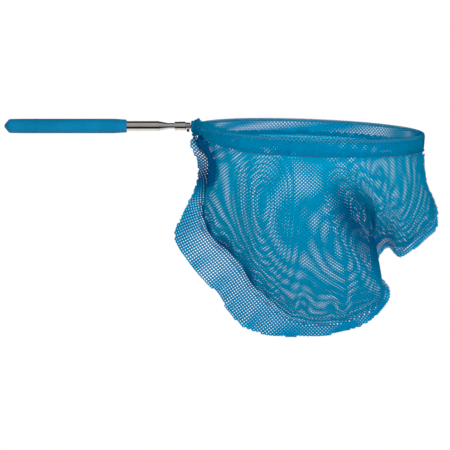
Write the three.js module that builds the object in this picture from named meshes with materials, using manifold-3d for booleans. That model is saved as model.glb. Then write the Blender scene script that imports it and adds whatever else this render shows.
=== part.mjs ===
// A telescopic catching net: a five-draw steel pole with a foam grip, a round wire hoop clamped in its tip,
// and a bag of two knitted mesh panels sewn together, hung from the hoop by a folded hem.
// Millimetres. X runs along the pole towards the hoop, Z is up, and the origin is the middle of the grip.

import * as THREE from "three";
import { mergeVertices } from "three/addons/utils/BufferGeometryUtils.js";
import Module from "manifold-3d";

const wasm = await Module();
wasm.setup();

// Pole: five tubes, each a step thinner than the one that it slides out of
const tubeCount = 5;
const firstTubeRadius = 4.6;
const tubeRadiusStep = 0.45;
const tubeWall = 0.25;
const firstTubeMouth = 84.5; // where the widest tube ends, from the middle of the grip
const mouthStep = 2.2; // how far each tube stands out of the one before it when the pole is shut
const noseLength = 2; // the tube is drawn in over this length at its mouth
const noseLip = 0.2; // wall left at the rim of a mouth
const neckClearance = 0.07; // radial running gap between a tube and the mouth that it slides through

// Grip: a foam sleeve, closed at its free end
const gripLength = 110;
const gripWall = 1.82;
const gripFit = 0.08; // radial gap between foam and tube
const gripEndWall = 4; // foam past the end of the tube
const gripDomeLength = 5;
const gripMouthWall = 1; // the foam thins where it meets the bare tube
const gripMouthTaper = 9; // length over which it thins
const gripMouthEdge = 0.8; // rounding of its rim

// Friction springs: a split bronze ring in a groove at the foot of each moving tube
const springLength = 6;
const springRun = 0.07; // radial gap to the tube that it rubs along
const springSplit = THREE.MathUtils.degToRad(32); // angle left open by the split
const springFit = 0.06; // radial gap between the ring and the floor of its groove
const springEndGap = 0.3;
const grooveDepth = 0.35;
const grooveRamp = 0.6;
const footLip = 1; // rolled edge behind the groove
const footRun = 0.1; // radial gap from that edge to the tube around it
const footGap = 0.8; // gap between nested feet when the pole is shut

// Plug in the foot of the widest tube
const plugDepth = 6;
const plugFlange = 1.4;
const plugFit = 0.1;
const plugChamfer = 0.5;

// Ferrule: a crimped collar from the thinnest tube to the hoop's socket
const tipReveal = 6.8; // bare length of the thinnest tube when the pole is shut
const tipDepth = 5.7; // length of that tube inside the ferrule
const ferruleLength = 10.1;
const ferruleWall = 0.77;
const ferruleFit = 0.08;
const ferruleChamfer = 0.5;
const crimpDepth = 0.2;
const crimpHalfWidth = 0.9;

// Hoop: one wire, bent to a circle with two straight legs side by side
const wireRadius = 1.2;
const hoopRadius = 101; // to the middle of the wire
const legGap = 0.5;
const legBend = 6; // bend radius where a leg turns into the hoop
const legReveal = 0.46; // straight length between the socket and the bend
const hoopDroop = THREE.MathUtils.degToRad(2); // the hoop bends down a little under the bag

// Socket that holds the legs, and the screw that clamps them from below
const socketReveal = 4.2; // how far it stands out of the ferrule
const socketWall = 0.43;
const socketFloor = 1.6;
const socketChamfer = 0.3;
const socketGap = 0.6; // from the end of the tube to the socket, inside the ferrule
const boreFit = 0.12; // radial gap round each leg
const boreEndGap = 0.3;
const screwSetback = 2.2; // from the mouth of the socket to the screw
const screwRadius = 0.8;
const screwHeadLip = 0.35;
const screwHeadHeight = 2;
const screwHeadGap = 0.1;
const screwTipGap = 0.3;
const screwPoint = 0.4;
const screwFit = 0.08;

// Hem: a strip of mesh folded over the wire and sewn below it
const hemPocket = 8; // height of the pocket round the wire
const hemTuck = 7; // how much of each panel is sewn in between the plies
const hemPly = 0.6;
const hemWireGap = 0.35;
const hemPanelGap = 0.5;
const hemEndGap = 1.4; // the hem stops this far past the bend of each leg
const hemStitchUp = 1.6; // from the raw edge of the hem up to its stitches

// Bag
const bagDepth = 158; // from the foot of the hem down to the lowest point of the seam
const panelPly = 0.7;
const pliesApart = 0.35; // between the two panels where they are sewn together
const panelEndGap = 1.2; // the panels stop this far from each other at the two ends of the hoop
const tuckShare = 0.9; // share of the hem's tuck that a panel fills
const seamAllowance = 0.12; // the stitches lie this share of the flap outside the seam
const seamStart = 1; // stations from each end of the seam to its stitches
const threadRadius = 0.35;
const threadGap = 0.45;

// Gather: the ends of the hem, bunched round the hoop's legs and tacked together. Each pair of sizes is half
// of its girth at the socket and where it meets the hem.
const gatherGap = 0.5;
const gatherLength = 9;
const gatherWidth = [4.9, 7.7];
const gatherHeight = [4.9, 4.4];
const gatherDrop = [4.9, 7.2];
const gatherPleats = 7;
const gatherPleatDepth = 0.45;
const gatherPeak = 2.3; // the bunch stands up in a peak on top
const gatherPeakWidth = 0.2; // share of its length
const gatherFullAt = 0.7; // share of its length at which it is widest
const gatherTaper = 0.3; // share of its girth lost from there to its end
const gatherWireGap = 0.35;

// The bag as it hangs, seen from the side: the seam, and the raw edge of the flap outside it.
// Millimetres right of the hoop's near end and below the foot of the hem, for a hoop and a bag of the
// pattern's size.
const patternWidth = 202;
const patternDepth = 158;
const outline = [
  { seam: [1, 3], edge: [-5.5, -7] },
  { seam: [8.5, 9], edge: [-7, 3] },
  { seam: [17, 17], edge: [-1.5, 14.5] },
  { seam: [19.5, 27], edge: [0, 25] },
  { seam: [12.5, 41.5], edge: [-4.5, 44] },
  { seam: [4.5, 56.5], edge: [-13, 64] },
  { seam: [6, 71.5], edge: [-20.5, 87.5] },
  { seam: [15, 86.5], edge: [-10, 102] },
  { seam: [30, 97.5], edge: [2, 118.5] },
  { seam: [41, 109.5], edge: [18, 135] },
  { seam: [50, 126], edge: [29, 151] },
  { seam: [63, 137.5], edge: [43, 163.5] },
  { seam: [83, 153], edge: [67, 170.5] },
  { seam: [110, 158], edge: [98, 172] },
  { seam: [132, 154.5], edge: [127, 167] },
  { seam: [150, 145.5], edge: [149, 157.5] },
  { seam: [164, 134], edge: [168.5, 139] },
  { seam: [166, 123], edge: [172.5, 126] },
  { seam: [158.5, 110], edge: [163.5, 111] },
  { seam: [158, 100.5], edge: [163.5, 102] },
  { seam: [164.5, 88], edge: [168, 93.5] },
  { seam: [173, 84.5], edge: [173.5, 89.5] },
  { seam: [181, 89.5], edge: [183, 96.5] },
  { seam: [197, 77], edge: [201.5, 83.5] },
  { seam: [210, 61.5], edge: [215, 66.5] },
  { seam: [212, 50.5], edge: [216, 50] },
  { seam: [205, 30.5], edge: [208, 30] },
  { seam: [202, 12.5], edge: [205, 11.5] },
  { seam: [201.5, 2.5], edge: [205, 1.5] },
];

// Folds that push a panel in. At is the share of the seam's length from the pole's end, and lean is how far
// the fold moves along by the time that it reaches the seam.
const folds = [
  { side: -1, at: 0.6, lean: 0.09, width: 0.055, depth: 0.62 },
  { side: 1, at: 0.36, lean: 0, width: 0.09, depth: 0.3 },
];
const ripples = { front: 4.5, back: 5.5, depth: 0.06 };
const fullness = 0.85; // how round the bag is between the hem and the seam

// How the flap outside the seam leans out of the seam's own plane, in millimetres at the raw edge
const flapWaves = { count: 7, height: 7, at: 0.12, width: 0.2, from: 0.02, to: 0.08 };
const flapCurl = { height: 17, from: 0.38, to: 0.55 };
const flapRise = { height: 9, from: 0.85, to: 1 };

// Fineness of the faceting
const roundSides = 24;
const boltSides = 16;
const springSteps = 20;
const wireSides = 8;
const hoopSteps = 48;
const bendSteps = 5;
const archSteps = 4;
const threadSides = 5;
const gatherRings = 8;
const gatherSides = 28;
const stationSteps = 2; // columns of facets between two stations of the outline

// Openings of the panels, a coarse grid in place of the knitted mesh
const openingsAcross = 12;
const openingsDown = 3;
const openingShare = 0.5; // share of each pitch of the grid that is open
const flapOpening = [0.35, 0.7]; // the flap's own row, as shares of its width

// Sizes and places that follow from the ones above
const tubeRadius = (k) => firstTubeRadius - k * tubeRadiusStep;
const tubeMouth = (k) => firstTubeMouth + k * mouthStep;
const footLength = footLip + springLength + 2 * springEndGap + grooveRamp;
const plugStart = gripEndWall - gripLength / 2;
const secondFoot = plugStart + plugFlange + plugDepth + footGap;
const tubeFoot = (k) => (k === 0 ? plugStart + plugFlange : secondFoot + (k - 1) * (footLength + footGap));
const springReach = tubeRadiusStep - tubeWall - springRun;
const footReach = tubeRadiusStep - tubeWall - footRun;
const lastTube = tubeCount - 1;
const ferruleStart = tubeMouth(lastTube - 1) + tipReveal;
const ferruleEnd = ferruleStart + ferruleLength;
const tipEnd = ferruleStart + tipDepth;
const legSpread = wireRadius + legGap / 2;
const socketStart = tipEnd + socketGap;
const socketEnd = ferruleEnd + socketReveal;
const socketRadius = legSpread + wireRadius + boreFit + socketWall;
const legStart = socketStart + socketFloor;
const bendStart = socketEnd + legReveal;
const bendSide = legSpread + legBend;
const hoopCentre = bendStart + Math.sqrt((hoopRadius + legBend) ** 2 - bendSide ** 2);
const hemDepth = hemPocket + hemTuck;
const hemMouth = panelPly / 2 + hemPanelGap;

const colours = {
  foam: [0x057aa6, 0.75, 0],
  steel: [0xb9b5b0, 0.18, 1],
  bronze: [0xb08a4a, 0.35, 1],
  plastic: [0x20262a, 0.6, 0],
  blackSteel: [0x1a1c1e, 0.45, 0.8],
  springSteel: [0x6d7478, 0.35, 1],
  mesh: [0x0780ab, 0.7, 0],
  thread: [0x046088, 0.6, 0],
};

const net = new THREE.Group();

function add(name, geometry, [color, roughness, metalness]) {
  const mesh = new THREE.Mesh(geometry, new THREE.MeshStandardMaterial({ color, roughness, metalness }));
  mesh.name = name;
  net.add(mesh);
}

// Helpers for closed bodies

// The geometry's points, each only once, and its triangles
function welded(geometry) {
  const bare = new THREE.BufferGeometry();
  const loose = geometry.index ? geometry.toNonIndexed() : geometry;
  bare.setAttribute("position", loose.getAttribute("position"));
  return mergeVertices(bare);
}

function solidFrom(geometry) {
  const merged = welded(geometry);
  const vertProperties = new Float32Array(merged.attributes.position.array);
  const triVerts = new Uint32Array(merged.index.array);
  return new wasm.Manifold(new wasm.Mesh({ numProp: 3, vertProperties, triVerts }));
}

function geometryFrom(solid) {
  const mesh = solid.getMesh();
  return new THREE.BufferGeometry()
    .setAttribute("position", new THREE.BufferAttribute(new Float32Array(mesh.vertProperties), mesh.numProp))
    .setIndex(new THREE.BufferAttribute(new Uint32Array(mesh.triVerts), 1));
}

// A closed body from points and triangles, turned so that its faces point out
function body(points, faces) {
  const across = new THREE.Vector3();
  const volume = (sum, [i, j, k]) => sum + points[i].dot(across.crossVectors(points[j], points[k]));
  const insideOut = faces.reduce(volume, 0) < 0;
  const order = faces.flatMap(([i, j, k]) => (insideOut ? [i, k, j] : [i, j, k]));
  return new THREE.BufferGeometry().setFromPoints(points).setIndex(order);
}

// Triangles that fill a flat ring, in the ring's own order
function cap(ring) {
  const normal = new THREE.Vector3();
  ring.forEach((point, i) => normal.add(point.clone().cross(ring[(i + 1) % ring.length])));
  normal.normalize();
  const along = ring[1].clone().sub(ring[0]).projectOnPlane(normal).normalize();
  const across = normal.clone().cross(along);
  const flat = ring.map((point) => new THREE.Vector2(point.dot(along), point.dot(across)));
  return THREE.ShapeUtils.triangulateShape(flat, []);
}

// Closed rings of equally many points, joined in order, with a flat cap at each end
function loft(rings) {
  const count = rings[0].length;
  const last = (rings.length - 1) * count;
  const faces = [];
  for (let start = 0; start < last; start += count) {
    for (let i = 0; i < count; i++) {
      const a = start + i;
      const b = start + ((i + 1) % count);
      faces.push([a, b, b + count], [a, b + count, a + count]);
    }
  }
  cap(rings[0]).forEach(([i, j, k]) => faces.push([k, j, i]));
  cap(rings.at(-1)).forEach(([i, j, k]) => faces.push([last + i, last + j, last + k]));
  return body(rings.flat(), faces);
}

// A round bar along a path that stays nearly level
function barAlong(path, radius, sides) {
  const up = new THREE.Vector3(0, 0, 1);
  const rings = path.map((point, i) => {
    const before = path[Math.max(i - 1, 0)];
    const after = path[Math.min(i + 1, path.length - 1)];
    const along = after.clone().sub(before).normalize();
    const side = up.clone().cross(along).normalize();
    const over = along.clone().cross(side);
    return Array.from({ length: sides }, (_, s) => {
      const angle = (2 * Math.PI * (s + 0.5)) / sides;
      const out = side.clone().multiplyScalar(Math.cos(angle)).addScaledVector(over, Math.sin(angle));
      return point.clone().addScaledVector(out, radius);
    });
  });
  return loft(rings);
}

// A profile of [x, radius] pairs turned round the pole's axis
function turned(profile, sides = roundSides) {
  const points = profile.map(([x, radius]) => new THREE.Vector2(radius, x));
  const lathe = new THREE.LatheGeometry(points, sides).rotateZ(-Math.PI / 2).rotateX(Math.PI / sides);
  const { attributes, index } = welded(lathe);
  const places = Array.from({ length: attributes.position.count }, (_, i) =>
    new THREE.Vector3().fromBufferAttribute(attributes.position, i),
  );
  const corners = [...index.array];
  const faces = Array.from({ length: corners.length / 3 }, (_, f) => corners.slice(3 * f, 3 * f + 3));
  return body(
    places,
    faces.filter((face) => new Set(face).size === 3),
  );
}

// A round rod along X with a flat at each end
function rod(from, to, radius, sides = boltSides) {
  return new THREE.CylinderGeometry(radius, radius, to - from, sides)
    .rotateZ(-Math.PI / 2)
    .translate((from + to) / 2, 0, 0);
}

// The corner radius at which a many-sided bore just clears a shaft of the given radius
const boreRadius = (radius, sides = roundSides) => radius / Math.cos(Math.PI / sides);

// A list of count + 1 values spaced evenly from one end to the other
const spaced = (from, to, count) =>
  Array.from({ length: count + 1 }, (_, i) => THREE.MathUtils.lerp(from, to, i / count));

const hump = (value, centre, width) => Math.exp(-(((value - centre) / width) ** 2));

function makeGrip() {
  const start = -gripLength / 2;
  const end = gripLength / 2;
  const bore = boreRadius(firstTubeRadius + gripFit);
  const radius = firstTubeRadius + gripFit + gripWall;
  const mouthRadius = firstTubeRadius + gripFit + gripMouthWall;
  const domeStep = 6;
  const dome = spaced(0, Math.PI / 2, domeStep).map((angle) => [
    start + gripDomeLength * (1 - Math.cos(angle)) ** 1.4,
    radius * Math.sin(angle),
  ]);
  const profile = [
    ...dome,
    [end - gripMouthTaper, radius],
    [end - gripMouthTaper / 3, (radius + 2 * mouthRadius) / 3],
    [end - gripMouthEdge, mouthRadius],
    [end, mouthRadius - gripMouthEdge / 2],
    [end, bore],
    [plugStart, bore],
    [plugStart, 0],
  ];
  add("grip", turned(profile), colours.foam);
}

// The foot of a moving tube has a groove for its spring, and the tube is drawn in below it
function footProfile(k) {
  const radius = tubeRadius(k);
  const start = tubeFoot(k);
  if (k === 0) {
    return { outer: [[start, radius]], inner: [[start, boreRadius(radius - tubeWall)]] };
  }
  const floor = radius - grooveDepth;
  const grooveStart = start + footLip;
  const grooveEnd = grooveStart + springLength + 2 * springEndGap;
  return {
    outer: [
      [start, radius + footReach],
      [grooveStart, radius + footReach],
      [grooveStart, floor],
      [grooveEnd, floor],
      [grooveEnd + grooveRamp, radius],
    ],
    inner: [
      [start, floor - tubeWall],
      [grooveEnd, floor - tubeWall],
      [grooveEnd + grooveRamp, boreRadius(radius - tubeWall)],
    ],
  };
}

// The mouth of a tube is drawn in to guide the next one
function mouthProfile(k) {
  const radius = tubeRadius(k);
  if (k === lastTube) {
    return { outer: [[tipEnd, radius]], inner: [[tipEnd, boreRadius(radius - tubeWall)]] };
  }
  const mouth = tubeMouth(k);
  const guide = boreRadius(tubeRadius(k + 1) + neckClearance);
  const rim = guide + noseLip;
  return {
    outer: [
      [mouth - noseLength, radius],
      [mouth - noseLength / 2, (2 * radius + rim) / 3],
      [mouth - noseLength / 8, (radius + 2 * rim) / 3],
      [mouth, rim],
    ],
    inner: [
      [mouth - noseLength, boreRadius(radius - tubeWall)],
      [mouth - noseLength / 2, guide],
      [mouth, guide],
    ],
  };
}

function makeTube(k) {
  const foot = footProfile(k);
  const mouth = mouthProfile(k);
  const outer = [...foot.outer, ...mouth.outer];
  const inner = [...foot.inner, ...mouth.inner].reverse();
  add(`pole_tube_${k + 1}`, turned([...outer, ...inner, outer[0]]), colours.steel);
}

function makeSpring(k) {
  const start = tubeFoot(k) + footLip + springEndGap;
  const end = start + springLength;
  const inner = boreRadius(tubeRadius(k) - grooveDepth + springFit, springSteps);
  const outer = tubeRadius(k) + springReach;
  const rings = spaced(springSplit / 2, 2 * Math.PI - springSplit / 2, springSteps).map((angle) =>
    [
      [start, inner],
      [start, outer],
      [end, outer],
      [end, inner],
    ].map(([x, radius]) => new THREE.Vector3(x, radius * Math.sin(angle), radius * Math.cos(angle))),
  );
  add(`friction_spring_${k + 1}`, loft(rings), colours.bronze);
}

function makePole() {
  for (let k = 0; k < tubeCount; k++) makeTube(k);
  for (let k = 1; k < tubeCount; k++) makeSpring(k);
}

function makePlug() {
  const radius = firstTubeRadius - tubeWall - plugFit;
  const head = plugStart + plugFit;
  const shoulder = plugStart + plugFlange - plugFit;
  const end = plugStart + plugFlange + plugDepth;
  const profile = [
    [head, 0],
    [head, firstTubeRadius - plugFit],
    [shoulder, firstTubeRadius - plugFit],
    [shoulder, radius],
    [end - plugChamfer, radius],
    [end, radius - plugChamfer],
    [end, 0],
  ];
  add("base_plug", turned(profile), colours.plastic);
}

function makeFerrule() {
  const tubeBore = boreRadius(tubeRadius(lastTube) + ferruleFit);
  const socketBore = boreRadius(socketRadius + ferruleFit);
  const radius = Math.max(tubeBore, socketBore) + ferruleWall;
  const step = tipEnd + socketGap / 2;
  const crimp = (ferruleStart + tipEnd) / 2;
  const profile = [
    [ferruleStart, tubeBore],
    [ferruleStart, radius - ferruleChamfer],
    [ferruleStart + ferruleChamfer, radius],
    [crimp - crimpHalfWidth, radius],
    [crimp - crimpHalfWidth / 3, radius - crimpDepth],
    [crimp + crimpHalfWidth / 3, radius - crimpDepth],
    [crimp + crimpHalfWidth, radius],
    [ferruleEnd - ferruleChamfer, radius],
    [ferruleEnd, radius - ferruleChamfer],
    [ferruleEnd, socketBore],
    [step, socketBore],
    [step, tubeBore],
    [ferruleStart, tubeBore],
  ];
  add("ferrule", turned(profile), colours.steel);
}

// The hoop and all that hangs on it lie lower the further they are from the socket.
const droopAt = (x) => Math.max(0, x - socketEnd) * Math.tan(hoopDroop);

// The hoop's middle line: leg, bend, round the circle, bend, leg
function hoopPath() {
  const joinAngle = Math.asin(bendSide / (hoopRadius + legBend));
  const bend = spaced(-Math.PI / 2, -joinAngle, bendSteps).map((angle) => [
    bendStart + legBend * Math.cos(angle),
    bendSide + legBend * Math.sin(angle),
  ]);
  const circle = spaced(Math.PI - joinAngle, 0, hoopSteps / 2).map((angle) => [
    hoopCentre + hoopRadius * Math.cos(angle),
    hoopRadius * Math.sin(angle),
  ]);
  const half = [[legStart, legSpread], ...bend, ...circle.slice(1)];
  const other = half.slice(0, -1).reverse();
  const plan = [...half, ...other.map(([x, y]) => [x, -y])];
  return plan.map(([x, y]) => new THREE.Vector3(x, y, -droopAt(x)));
}

function makeHoop() {
  add("hoop_wire", barAlong(hoopPath(), wireRadius, wireSides), colours.springSteel);
}

function makeSocket() {
  const profile = [
    [socketStart, 0],
    [socketStart, socketRadius],
    [socketEnd - socketChamfer, socketRadius],
    [socketEnd, socketRadius - socketChamfer],
    [socketEnd, 0],
  ];
  const bore = rod(legStart - boreEndGap, socketEnd + boreEndGap, boreRadius(wireRadius + boreFit, boltSides));
  const tapped = rod(0, socketRadius + screwHeadGap, boreRadius(screwRadius + screwFit, boltSides));
  const left = bore.clone().translate(0, legSpread, 0);
  const right = bore.clone().translate(0, -legSpread, 0);
  tapped.rotateY(Math.PI / 2).translate(socketEnd - screwSetback, 0, 0);
  const socket = [left, right, tapped].reduce(
    (solid, hole) => solid.subtract(solidFrom(hole)),
    solidFrom(turned(profile)),
  );
  add("hoop_socket", geometryFrom(socket), colours.steel);
}

// The screw is turned along X, then stood up with its point at the top.
function makeScrew() {
  const headTop = -socketRadius - screwHeadGap;
  const headFoot = headTop - screwHeadHeight;
  const headRadius = screwRadius + screwHeadLip;
  const tip = -wireRadius - screwTipGap;
  const profile = [
    [headFoot, 0],
    [headFoot, headRadius - screwHeadLip],
    [headFoot + screwHeadLip, headRadius],
    [headTop, headRadius],
    [headTop, screwRadius],
    [tip - screwPoint, screwRadius],
    [tip, screwRadius - screwPoint],
    [tip, 0],
  ];
  const screw = turned(profile, boltSides).rotateY(-Math.PI / 2).translate(socketEnd - screwSetback, 0, 0);
  add("clamp_screw", screw, colours.blackSteel);
}

// A point near the hoop: angle is from the pole's end, out is away from the wire, and down is below it.
function nearHoop(angle, out, down) {
  const x = hoopCentre - (hoopRadius + out) * Math.cos(angle);
  return new THREE.Vector3(x, (hoopRadius + out) * Math.sin(angle), -down - droopAt(x));
}

// The hem's section: two plies, joined by an arch over the wire and open at the foot
function hemSection() {
  const inner = wireRadius + hemWireGap;
  const outer = inner + hemPly;
  const arch = (radius, from, to) =>
    spaced(from, to, archSteps).map((angle) => [radius * Math.cos(angle), -radius * Math.sin(angle)]);
  return [
    [hemMouth + hemPly, hemDepth],
    [hemMouth + hemPly, hemPocket],
    ...arch(outer, 0, Math.PI),
    [-hemMouth - hemPly, hemPocket],
    [-hemMouth - hemPly, hemDepth],
    [-hemMouth, hemDepth],
    [-hemMouth, hemPocket],
    ...arch(inner, Math.PI, 0),
    [hemMouth, hemPocket],
    [hemMouth, hemDepth],
  ];
}

function makeHem() {
  const start = Math.asin((bendSide + hemEndGap) / hoopRadius);
  const angles = spaced(start, 2 * Math.PI - start, hoopSteps);
  const section = hemSection();
  const rings = angles.map((angle) => section.map(([out, down]) => nearHoop(angle, out, down)));
  add("hem_sleeve", loft(rings), colours.mesh);

  const threadOut = hemMouth + hemPly + threadGap + threadRadius;
  const path = angles.map((angle) => nearHoop(angle, threadOut, hemDepth - hemStitchUp));
  add("hem_thread", barAlong(path, threadRadius, threadSides), colours.thread);
}

// The seam and the flap's raw edge as smooth curves, with one unit of the station number between two points
const lastStation = outline.length - 1;

function placed([right, below]) {
  const x = hoopCentre - hoopRadius + (right * 2 * hoopRadius) / patternWidth;
  return new THREE.Vector3(x, 0, -hemDepth - (below * bagDepth) / patternDepth - droopAt(x));
}

const smooth = (points) => new THREE.CatmullRomCurve3(points, false, "centripetal");
const seamCurve = smooth(outline.map(({ seam }) => placed(seam)));
const edgeCurve = smooth(outline.map(({ edge }) => placed(edge)));

// Share of the seam's length that lies before each station
const seamShares = (() => {
  const lengths = [0];
  for (let i = 1; i <= lastStation; i++) {
    lengths.push(lengths[i - 1] + placed(outline[i].seam).distanceTo(placed(outline[i - 1].seam)));
  }
  return lengths.map((length) => length / lengths[lastStation]);
})();

function shareAt(station) {
  const low = Math.min(Math.floor(station), lastStation - 1);
  return THREE.MathUtils.lerp(seamShares[low], seamShares[low + 1], station - low);
}

// How far a panel is pushed in by its folds: 0 is full and 1 is flat. Drop is 0 at the hem and 1 at the seam.
function foldIn(side, share, drop) {
  const own = folds.filter((fold) => fold.side === side);
  const deep = own.reduce((sum, { at, lean, width, depth }) => sum + depth * hump(share, at + lean * drop, width), 0);
  const count = side < 0 ? ripples.front : ripples.back;
  const ripple = ripples.depth * Math.sin(2 * Math.PI * count * share + 1);
  return THREE.MathUtils.smoothstep(drop, 0, 0.4) * (deep + ripple);
}

function flapLean(share) {
  const { count, height, at, width, from, to } = flapWaves;
  const fade = hump(share, at, width) * THREE.MathUtils.smoothstep(share, from, to);
  const waves = height * Math.sin(2 * Math.PI * count * share) * fade;
  const curl = flapCurl.height * THREE.MathUtils.smoothstep(share, flapCurl.from, flapCurl.to);
  const rise = flapRise.height * THREE.MathUtils.smoothstep(share, flapRise.from, flapRise.to);
  return waves + curl - rise;
}

// A point of the flap, where across is 0 at the seam and 1 at the raw edge
function flapPoint(station, across) {
  const t = station / lastStation;
  const point = seamCurve.getPoint(t).lerp(edgeCurve.getPoint(t), across);
  point.y = flapLean(shareAt(station)) * across ** 1.5;
  return point;
}

// The direction from the front panel to the back one
function flapNormal(station, across) {
  const step = 0.02;
  const before = Math.max(station - step, 0);
  const after = Math.min(station + step, lastStation);
  const along = flapPoint(after, across).sub(flapPoint(before, across));
  const inner = flapPoint(station, Math.max(across - step, 0));
  const out = flapPoint(station, Math.min(across + step, 1)).sub(inner);
  const normal = along.cross(out).normalize();
  return normal.y < 0 ? normal.negate() : normal;
}

// A point of a panel's middle surface. Side is -1 for the front panel and 1 for the back one. Down is -1 at
// the top of the tuck, 0 at the foot of the hem, 1 at the seam and 2 at the raw edge.
function panelPoint(side, station, down) {
  const share = shareAt(station);
  const margin = panelEndGap / hoopRadius;
  const angle = THREE.MathUtils.lerp(margin, Math.PI - margin, share);
  const top = nearHoop(side * angle, 0, hemDepth + Math.min(down, 0) * hemTuck * tuckShare);
  if (down <= 0) return top;
  const apart = flapNormal(station, Math.max(down - 1, 0)).multiplyScalar((side * (panelPly + pliesApart)) / 2);
  if (down >= 1) return flapPoint(station, down - 1).add(apart);
  const seam = flapPoint(station, 0);
  const depth = top.y * Math.cos((Math.PI / 2) * down) ** fullness * (1 - foldIn(side, share, down));
  const x = THREE.MathUtils.lerp(top.x, seam.x, down ** 1.3);
  const point = new THREE.Vector3(x, depth, THREE.MathUtils.lerp(top.z, seam.z, down));
  return point.addScaledVector(apart, THREE.MathUtils.smoothstep(down, 0.5, 1));
}

// A sheet of even thickness over a grid of points of its middle surface, left out where isOpen says so
function sheet(grid, thickness, isOpen) {
  const rows = grid.length;
  const columns = grid[0].length;
  const near = (r, c) => grid[Math.max(0, Math.min(rows - 1, r))][Math.max(0, Math.min(columns - 1, c))];
  const skin = (offset) =>
    grid.flatMap((row, r) =>
      row.map((point, c) => {
        const along = near(r, c + 1).clone().sub(near(r, c - 1));
        const down = near(r + 1, c).clone().sub(near(r - 1, c));
        return point.clone().addScaledVector(along.cross(down).normalize(), offset);
      }),
    );
  const isCloth = (r, c) => r >= 0 && c >= 0 && r + 1 < rows && c + 1 < columns && !isOpen(r, c);
  const far = rows * columns;
  const faces = [];
  for (let r = 0; r + 1 < rows; r++) {
    for (let c = 0; c + 1 < columns; c++) {
      if (!isCloth(r, c)) continue;
      const a = r * columns + c;
      const d = a + columns;
      faces.push([a, d, d + 1], [a, d + 1, a + 1]);
      faces.push([far + a, far + d + 1, far + d], [far + a, far + a + 1, far + d + 1]);
      const edges = [
        [a, a + 1, isCloth(r - 1, c)],
        [a + 1, d + 1, isCloth(r, c + 1)],
        [d + 1, d, isCloth(r + 1, c)],
        [d, a, isCloth(r, c - 1)],
      ];
      for (const [from, to, isJoined] of edges) {
        if (!isJoined) faces.push([from, to, far + to], [from, far + to, far + from]);
      }
    }
  }
  return body([...skin(thickness / 2), ...skin(-thickness / 2)], faces);
}

// Lines across a panel from 0 to 1: both sides of each opening, and any lines given as shares of a pitch
function openingLines(count, others) {
  const shares = [(1 - openingShare) / 2, (1 + openingShare) / 2, ...others].sort();
  return [...Array(count).keys()].flatMap((i) => shares.map((share) => (i + share) / count));
}

function makePanel(name, side) {
  const columns = [0, ...openingLines(openingsAcross, [0.5, 1])];
  const bodyLines = [-1, 0, ...openingLines(openingsDown, []), 1];
  const rowsDown = [...bodyLines, ...flapOpening.map((share) => 1 + share), 2];
  const grid = rowsDown.map((down) => columns.map((share) => panelPoint(side, share * lastStation, down)));
  const flapRow = bodyLines.length;
  const isOpenRow = (r) => r === flapRow || (r > 1 && r < flapRow - 1 && r % 2 === 0);
  const isOpenColumn = (c) => c % 4 === 1 || c % 4 === 2;
  add(name, sheet(grid, panelPly, (r, c) => isOpenRow(r) && isOpenColumn(c)), colours.mesh);
}

function makeSeamThread() {
  const out = (panelPly + pliesApart) / 2 + panelPly / 2 + threadGap + threadRadius;
  const stations = spaced(seamStart, lastStation - seamStart, (lastStation - 2 * seamStart) * stationSteps);
  const path = stations.map((station) =>
    flapPoint(station, seamAllowance).addScaledVector(flapNormal(station, seamAllowance), -out),
  );
  add("seam_thread", barAlong(path, threadRadius, threadSides), colours.thread);
}

function makeGather() {
  const start = socketEnd + gatherGap;
  const swell = ([first, full], t) =>
    THREE.MathUtils.lerp(first, full, Math.sin(((Math.PI / 2) * Math.min(t, gatherFullAt)) / gatherFullAt));
  const rings = spaced(0, 1, gatherRings).map((t) => {
    const taper = 1 - gatherTaper * THREE.MathUtils.smoothstep(t, gatherFullAt, 1);
    const peak = gatherPeak * hump(t, gatherFullAt, gatherPeakWidth);
    return spaced(0, 2 * Math.PI, gatherSides).slice(1).map((angle) => {
      const across = Math.cos(angle);
      const up = Math.sin(angle);
      const pleat = gatherPleatDepth * Math.cos(gatherPleats * angle + 2 * t);
      const width = swell(gatherWidth, t) * taper + pleat;
      const height = swell(up > 0 ? gatherHeight : gatherDrop, t) * taper + pleat;
      const z = height * up + peak * Math.max(0, up) ** 5;
      return new THREE.Vector3(start + gatherLength * t, width * across, z);
    });
  });
  const room = barAlong(hoopPath(), wireRadius + gatherWireGap, wireSides);
  const parts = solidFrom(loft(rings)).subtract(solidFrom(room)).decompose();
  const [largest] = parts.sort((a, b) => b.volume() - a.volume());
  add("neck_gather", geometryFrom(largest), colours.mesh);
}

makeGrip();
makePole();
makePlug();
makeFerrule();
makeHoop();
makeSocket();
makeScrew();
makeHem();
makePanel("front_panel", -1);
makePanel("back_panel", 1);
makeSeamThread();
makeGather();

export default net;
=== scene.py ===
"""A telescopic catching net: foam grip, five-draw steel pole, clamped wire hoop and a bag of knitted mesh.

Metres. X runs along the pole towards the hoop, Z is up, and the origin is the middle of the grip.
"""

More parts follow.
